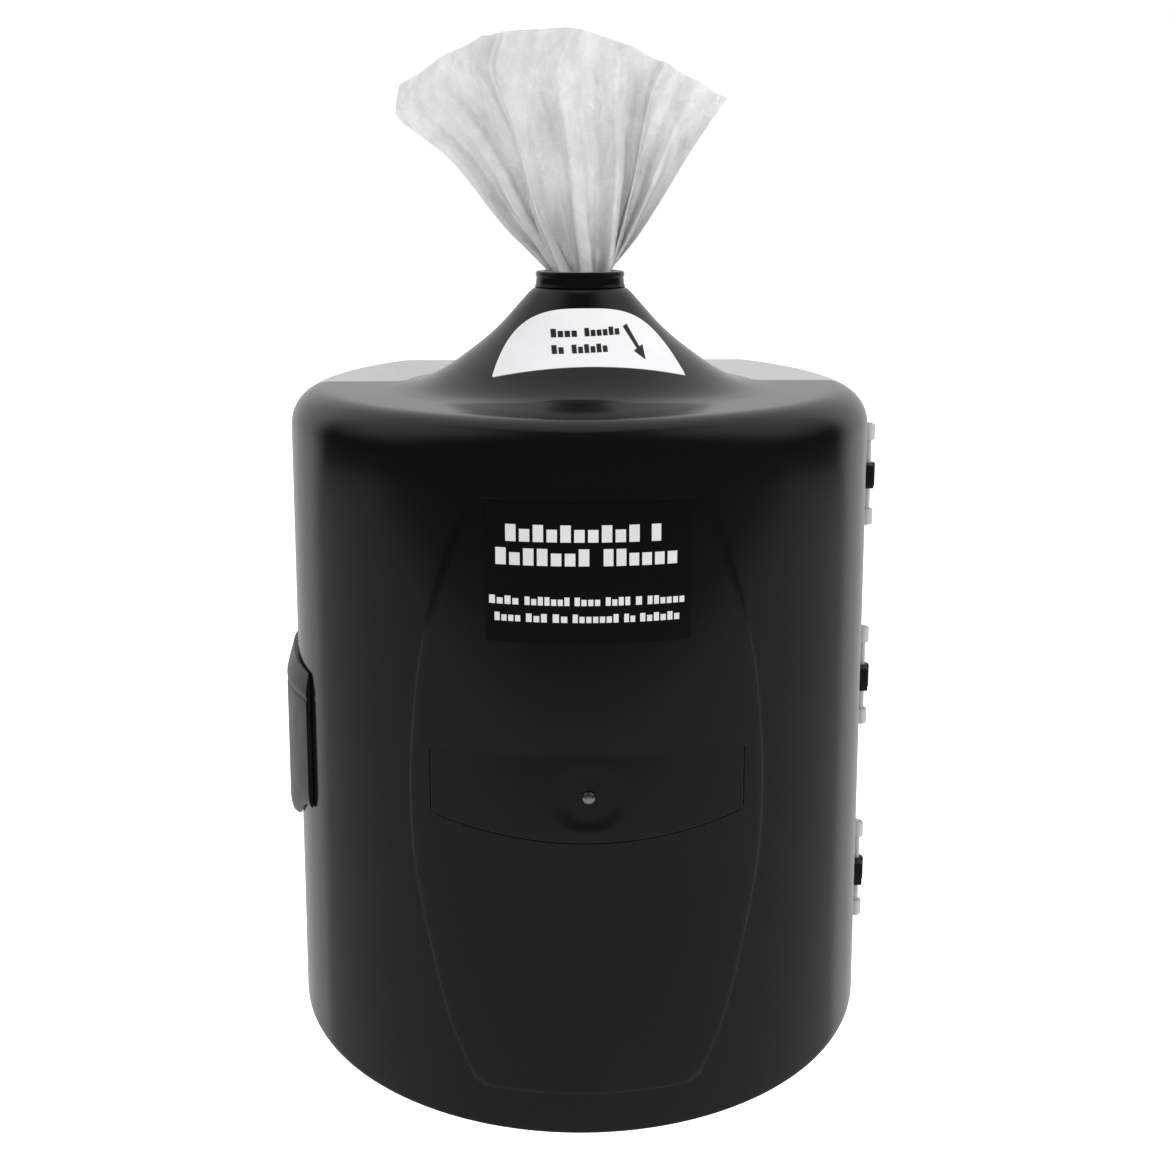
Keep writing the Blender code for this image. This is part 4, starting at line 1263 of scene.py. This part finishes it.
def build_roll():
    """Roll of wipes, slightly uneven, wound in visible turns."""
    seg = 180
    prof = []
    top, bot = ROLL_Z + ROLL_H, ROLL_Z
    turns = 24
    prof.append((ROLL_CORE_R, bot))
    for k in range(1, 12):
        prof.append((ROLL_CORE_R + (ROLL_R - 3 - ROLL_CORE_R) * k / 12, bot))
    prof += [(ROLL_R - 2.2, bot), (ROLL_R - 0.8, bot + 0.7), (ROLL_R - 0.2, bot + 2.5)]
    for k in range(1, 14):
        prof.append((ROLL_R - 0.2, bot + 2.5 + (ROLL_H - 5.0) * k / 14))
    prof += [(ROLL_R - 0.2, top - 2.5), (ROLL_R - 0.8, top - 0.9), (ROLL_R - 2.2, top - 0.2)]
    n = turns * 6
    for k in range(1, n):
        r = ROLL_R - 2.2 - (ROLL_R - 2.2 - ROLL_CORE_R - 0.8) * k / n
        prof.append((r, top - 0.25 - 0.55 * (0.5 + 0.5 * math.cos(2 * math.pi * k / 6))))
    prof.append((ROLL_CORE_R + 0.2, top - 0.9))
    for k in range(1, 10):
        prof.append((ROLL_CORE_R, top - 0.9 - (ROLL_H - 1.8) * k / 10))
    ob = lathe("wipe_roll", prof, 0.0, NOZZLE_Y, [M_ROLL], seg, True, 35.0)
    for v in ob.data.vertices:
        p = v.co
        a = math.atan2(p.y - NOZZLE_Y * MM, p.x)
        r = math.hypot(p.x, p.y - NOZZLE_Y * MM)
        if r > (ROLL_CORE_R + 4) * MM:
            k = 1.0 - 0.0025 * (0.5 + 0.5 * noise.noise(Vector((math.cos(a) * 3, math.sin(a) * 3, p.z * 14))))
            p.x *= k
            p.y = NOZZLE_Y * MM + (p.y - NOZZLE_Y * MM) * k
    return ob


def roll_material():
    """Wound nonwoven: fine layer lines on the ends, fibre on the side."""
    m = Mat("roll_nonwoven", rough=0.85)
    sep = m.n.new("ShaderNodeSeparateXYZ")
    m.l.new(m.coord.outputs["Object"], sep.inputs[0])
    dy = m.math("SUBTRACT", sep.outputs["Y"], NOZZLE_Y * MM)
    r = m.math("SQRT", m.math("ADD", m.math("MULTIPLY", sep.outputs["X"], sep.outputs["X"]), m.math("MULTIPLY", dy, dy)))
    rings = m.math("SINE", m.math("MULTIPLY", r, 2 * math.pi / 0.0009))
    wobble = m.noise(60.0, 4.0)
    lines = m.math("ADD", m.math("MULTIPLY", rings, 0.5), wobble)
    tone = m.ramp(m.noise(24.0, 4.0), [(0.2, (0.60, 0.60, 0.592)), (0.8, (0.68, 0.68, 0.676))])
    m.set("Base Color", m.mix(0.35, tone, m.ramp(lines, [(0.2, (0.60, 0.60, 0.59)), (0.9, (0.9, 0.9, 0.895))]), "MULTIPLY"))
    m.set("Normal", m.bump(lines, 0.35, 0.0004))
    m.set("Roughness", m.math("ADD", m.math("MULTIPLY", wobble, 0.15), 0.74))
    m.b.inputs["Sheen Weight"].default_value = 0.2
    return m.m


M_ROLL = roll_material()

# ============================================================== assembly
door = build_door()
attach(door, "door")
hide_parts("door_shell")

housing = housing_object()
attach(housing, "housing")
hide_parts("rear_housing")

latch = build_latch()
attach(latch, "latch")
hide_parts("latch_handle")

lab = main_label()
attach(lab, "door")
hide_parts("front_label")

stick = sticker()
stick.visible_glossy = False
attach(stick, "door")
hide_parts("pull_label")

ink = sticker_print()
ink.visible_glossy = False
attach(ink, "door")

shield = badge()
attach(shield, "door")
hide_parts("badge_plate")

# pan-head badge screw in the dish
y_dish = SEAM_Y - FRONT_D - SEAM_GAP
head = fillet([(0.0, y_dish - 3.4), (1.6, y_dish - 3.3), (2.6, y_dish - 2.5), (2.75, y_dish - 1.1), (1.9, y_dish - 1.05), (1.9, -248.8), (0.0, -248.8)],
              [0, 0.6, 0.8, 0.1, 0, 0, 0])
screw = turned_y("badge_screw_head", head, 0.0, BADGE_H, [M_SCREW])
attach(screw, "door")
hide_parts("badge_screw")

# nozzle collar, with its thin lip
c = BODY_H
col_prof = fillet(
    [(16.4, c + 38.0), (19.0, c + 38.0), (19.0, c + 47.1), (22.0, c + 47.1), (21.3, c + 48.6), (20.9, c + 51.6), (21.4, c + 53.0),
     (20.9, c + 54.6), (18.3, c + 54.7), (17.4, c + 53.4), (17.4, c + 45.6), (16.4, c + 45.0)],
    [0, 0.5, 0.3, 0.3, 1.4, 1.2, 0.8, 0.9, 1.0, 0.8, 0.4, 0])
collar = lathe("collar_ring", col_prof, 0.0, NOZZLE_Y, [M_NOZZLE], 128, True, 40.0)
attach(collar, "door")
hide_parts("nozzle_collar")

# hinges
for h_mid, place in zip(HINGE_Z, ("bottom", "middle", "top")):
    h0, h1 = h_mid - HINGE_LEN / 2, h_mid + HINGE_LEN / 2
    plate = bevel_box("bracket_" + place, 140.35, 141.75, SEAM_Y + 4.4, SEAM_Y + 15.0, h0, h1, [M_BRACKET], 0.5)
    bake_modifiers(plate)
    for a, b in ((h0, h0 + 8.0), (h1 - 8.0, h1)):
        web = bevel_box("web", 140.9, 145.2, SEAM_Y + 0.8, SEAM_Y + 7.5, a + 0.15, b - 0.15, [M_BRACKET], 0.4)
        bake_modifiers(web)
        cut(plate, web, "UNION")
        ear = lathe("ear", fillet([(0, a), (3.4, a), (3.4, b), (0, b)], [0, 0.8, 0.8, 0]), HINGE_X, HINGE_Y, [M_BRACKET], 48)
        cut(plate, ear, "UNION")
        # the ear is bored for the pin
    bore = lathe("bore", [(0, h0 - 5), (2.05, h0 - 5), (2.05, h1 + 5), (0, h1 + 5)], HINGE_X, HINGE_Y, [M_BRACKET], 32)
    cut(plate, bore)
    plate.data.shade_smooth()
    plate.data.set_sharp_from_angle(angle=math.radians(35))
    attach(plate, "housing")
    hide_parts("hinge_bracket_" + place)

    a, b = h_mid - 6.0, h_mid + 6.0
    knuckle = lathe("knuckle_" + place, fillet([(0, a), (3.9, a), (3.9, b), (0, b)], [0, 0.7, 0.7, 0]), HINGE_X, HINGE_Y, [M_KNUCKLE], 48)
    web = bevel_box("web", 140.35, 146.0, SEAM_Y - 9.5, SEAM_Y - 0.6, a + 0.1, b - 0.1, [M_KNUCKLE], 0.7)
    bake_modifiers(web)
    cut(knuckle, web, "UNION")
    bore = lathe("bore", [(0, a - 5), (2.05, a - 5), (2.05, b + 5), (0, b + 5)], HINGE_X, HINGE_Y, [M_KNUCKLE], 32)
    cut(knuckle, bore)
    knuckle.data.shade_smooth()
    knuckle.data.set_sharp_from_angle(angle=math.radians(35))
    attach(knuckle, "door")
    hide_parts("door_knuckle_" + place)

    pin = lathe("pin_" + place, fillet([(0, h0 - 0.5), (1.8, h0 - 0.5), (1.8, h1 + 0.5), (0, h1 + 0.5)], [0, 0.5, 0.5, 0]),
                HINGE_X, HINGE_Y, [M_PIN], 32)
    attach(pin, "housing")
    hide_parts("hinge_pin_" + place)

# soft goods
fan = build_fan()
fan.visible_glossy = False
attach(fan, "door")
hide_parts("wipe_fan")

rope = build_strand()
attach(rope, "door")
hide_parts("wipe_strand")

roll = build_roll()
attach(roll, "housing")
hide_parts("wipes_roll")

# carried-over CAD nodes
for name, mat in (("roll_tray", M_TRAY), ("latch_strike", M_STRIKE), ("latch_pin", M_PIN), ("latch_spring", M_PIN),
                  ("latch_bracket", M_STRIKE), ("nozzle_restrictor", M_RUBBER), ("nozzle_retainer", M_NOZZLE),
                  ("wall_screw_lower_left", M_SCREW), ("wall_screw_lower_right", M_SCREW),
                  ("wall_screw_upper_left", M_SCREW), ("wall_screw_upper_right", M_SCREW)):
    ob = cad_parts[name]
    for s in ob.material_slots:
        s.material = mat
    if not ob.material_slots:
        ob.data.materials.append(mat)

# ================================================================= stage
FLOOR_Z = (Z_BASE - 330.0) * MM
fm = bpy.data.materials.new("floor_pale")
fm.use_nodes = True
fb = fm.node_tree.nodes["Principled BSDF"]
fb.inputs["Base Color"].default_value = (0.90, 0.90, 0.90, 1)
fb.inputs["Roughness"].default_value = 0.9
fb.inputs["Emission Color"].default_value = (1, 1, 1, 1)
fb.inputs["Emission Strength"].default_value = 0.55
me = bpy.data.meshes.new("floor")
S = 14.0
me.from_pydata([(-S, -S, FLOOR_Z), (S, -S, FLOOR_Z), (S, S, FLOOR_Z), (-S, S, FLOOR_Z)], [], [(0, 1, 2, 3)])
me.materials.append(fm)
floor = bpy.data.objects.new("floor", me)
bpy.context.scene.collection.objects.link(floor)
floor.visible_glossy = False


def area(name, loc, target, size, size_y, power, colour=(1, 1, 1)):
    li = bpy.data.lights.new(name, "AREA")
    li.shape = "RECTANGLE"
    li.size, li.size_y = size, size_y
    li.energy = power
    li.color = colour
    ob = bpy.data.objects.new(name, li)
    ob.location = loc
    ob.rotation_mode = "QUATERNION"
    ob.rotation_quaternion = (Vector(target) - Vector(loc)).to_track_quat("-Z", "Y")
    bpy.context.scene.collection.objects.link(ob)
    return ob


def lamp(*args, **kw):
    ob = area(*args, **kw)
    ob.visible_glossy = False
    return ob


lamp("key_right", (1.5, -1.3, 0.95), (0.0, -0.10, 0.15), 0.8, 0.8, 13.0)
lamp("fill_left", (-1.6, -1.3, 0.6), (0.0, -0.10, 0.1), 1.4, 1.4, 3.0)
lamp("back_top", (0.4, 1.2, 1.4), (0.0, -0.08, 0.2), 1.6, 1.2, 9.0)
sun = bpy.data.lights.new("sky_soft", "SUN")
sun.energy, sun.angle = 0.9, math.radians(70)
sun_ob = bpy.data.objects.new("sky_soft", sun)
sun_ob.location = (0, 0, 3)
sun_ob.visible_glossy = False
bpy.context.scene.collection.objects.link(sun_ob)

world = bpy.data.worlds.new("studio")
bpy.context.scene.world = world
world.use_nodes = True
nt = world.node_tree
bg = nt.nodes["Background"]


def wn(kind, **props):
    node = nt.nodes.new(kind)
    for k, v in props.items():
        setattr(node, k, v)
    return node


def wmath(op, a, b=None, clamp=False):
    node = wn("ShaderNodeMath", operation=op, use_clamp=clamp)
    for i, v in enumerate((a, b)):
        if v is None:
            continue
        if isinstance(v, (int, float)):
            node.inputs[i].default_value = v
        else:
            nt.links.new(v, node.inputs[i])
    return node.outputs[0]


def wstep(value, lo, hi):
    node = wn("ShaderNodeMapRange", interpolation_type="SMOOTHSTEP")
    nt.links.new(value, node.inputs["Value"])
    for k, v in (("From Min", lo), ("From Max", hi), ("To Min", 0.0), ("To Max", 1.0)):
        if isinstance(v, (int, float)):
            node.inputs[k].default_value = v
        else:
            nt.links.new(v, node.inputs[k])
    return node.outputs["Result"]


# the studio as it shows in the gloss: white table below, soft box above, white
# wall behind, and the dark of the room all round the front at eye height
wc = wn("ShaderNodeTexCoord")
sep = wn("ShaderNodeSeparateXYZ")
nt.links.new(wc.outputs["Generated"], sep.inputs[0])
X, Y, Z = sep.outputs["X"], sep.outputs["Y"], sep.outputs["Z"]
flat = wmath("SQRT", wmath("ADD", wmath("MULTIPLY", X, X), wmath("MULTIPLY", Y, Y)))
ynorm = wmath("DIVIDE", Y, wmath("MAXIMUM", flat, 0.001))
front = wmath("MAXIMUM", wmath("MULTIPLY", ynorm, -1.0), 0.0)
side = wmath("ABSOLUTE", X)
edge = wmath("ADD", wmath("MULTIPLY", front, 0.145), 0.165)
down = wmath("MULTIPLY", Z, -1.0)
table = wmath("MULTIPLY", wstep(down, wmath("SUBTRACT", edge, 0.02), wmath("ADD", edge, 0.035)), 0.36)
above = wmath("ADD", wmath("MULTIPLY", wstep(side, 0.12, 0.55), 0.52), 0.11)
above = wmath("MULTIPLY", above, wstep(Z, 0.05, 0.75))
above = wmath("MULTIPLY", above, wstep(Y, -0.50, 0.15))
wall = wmath("MULTIPLY", wstep(ynorm, 0.42, 0.70), 0.62)
lit = wmath("MAXIMUM", wmath("MAXIMUM", table, above), wall)
gloss = wmath("MAXIMUM", lit, 0.03)
path = wn("ShaderNodeLightPath")
amb = wn("ShaderNodeMix", data_type="FLOAT")
nt.links.new(path.outputs["Is Glossy Ray"], amb.inputs[0])
amb.inputs[2].default_value = 0.80
nt.links.new(gloss, amb.inputs[3])
seen = wn("ShaderNodeMix", data_type="FLOAT")
nt.links.new(path.outputs["Is Camera Ray"], seen.inputs[0])
nt.links.new(amb.outputs[0], seen.inputs[2])
seen.inputs[3].default_value = 1.02
bg.inputs["Color"].default_value = (1, 1, 1, 1)
nt.links.new(seen.outputs[0], bg.inputs["Strength"])

# ================================================================ camera
cam_data = bpy.data.cameras.new("camera")
cam = bpy.data.objects.new("camera", cam_data)
bpy.context.scene.collection.objects.link(cam)
cam_data.sensor_width = 36.0
F_PX = 1474.0
cam_data.lens = F_PX / 1170.0 * 36.0
cam_data.shift_y = -0.13
PITCH, YAW = 8.64, 1.5
D, H_CAM = 725.0, 389.0
pivot = Vector((0.0, SEAM_Y - 30.0, 0.0))
back = Vector((-math.sin(math.radians(YAW)), -math.cos(math.radians(YAW)), 0.0))
eye = pivot + back * (D - 30.0)
cam.location = P(eye.x, eye.y, H_CAM)
cam.rotation_mode = "XYZ"
cam.rotation_euler = (math.radians(90.0 - PITCH), 0.0, math.radians(-YAW))
cam_data.shift_x = (585.0 - 581.0) / 1170.0
cam_data.clip_start, cam_data.clip_end = 0.01, 60.0
bpy.context.scene.camera = cam
bpy.context.scene.view_settings.view_transform = "Standard"
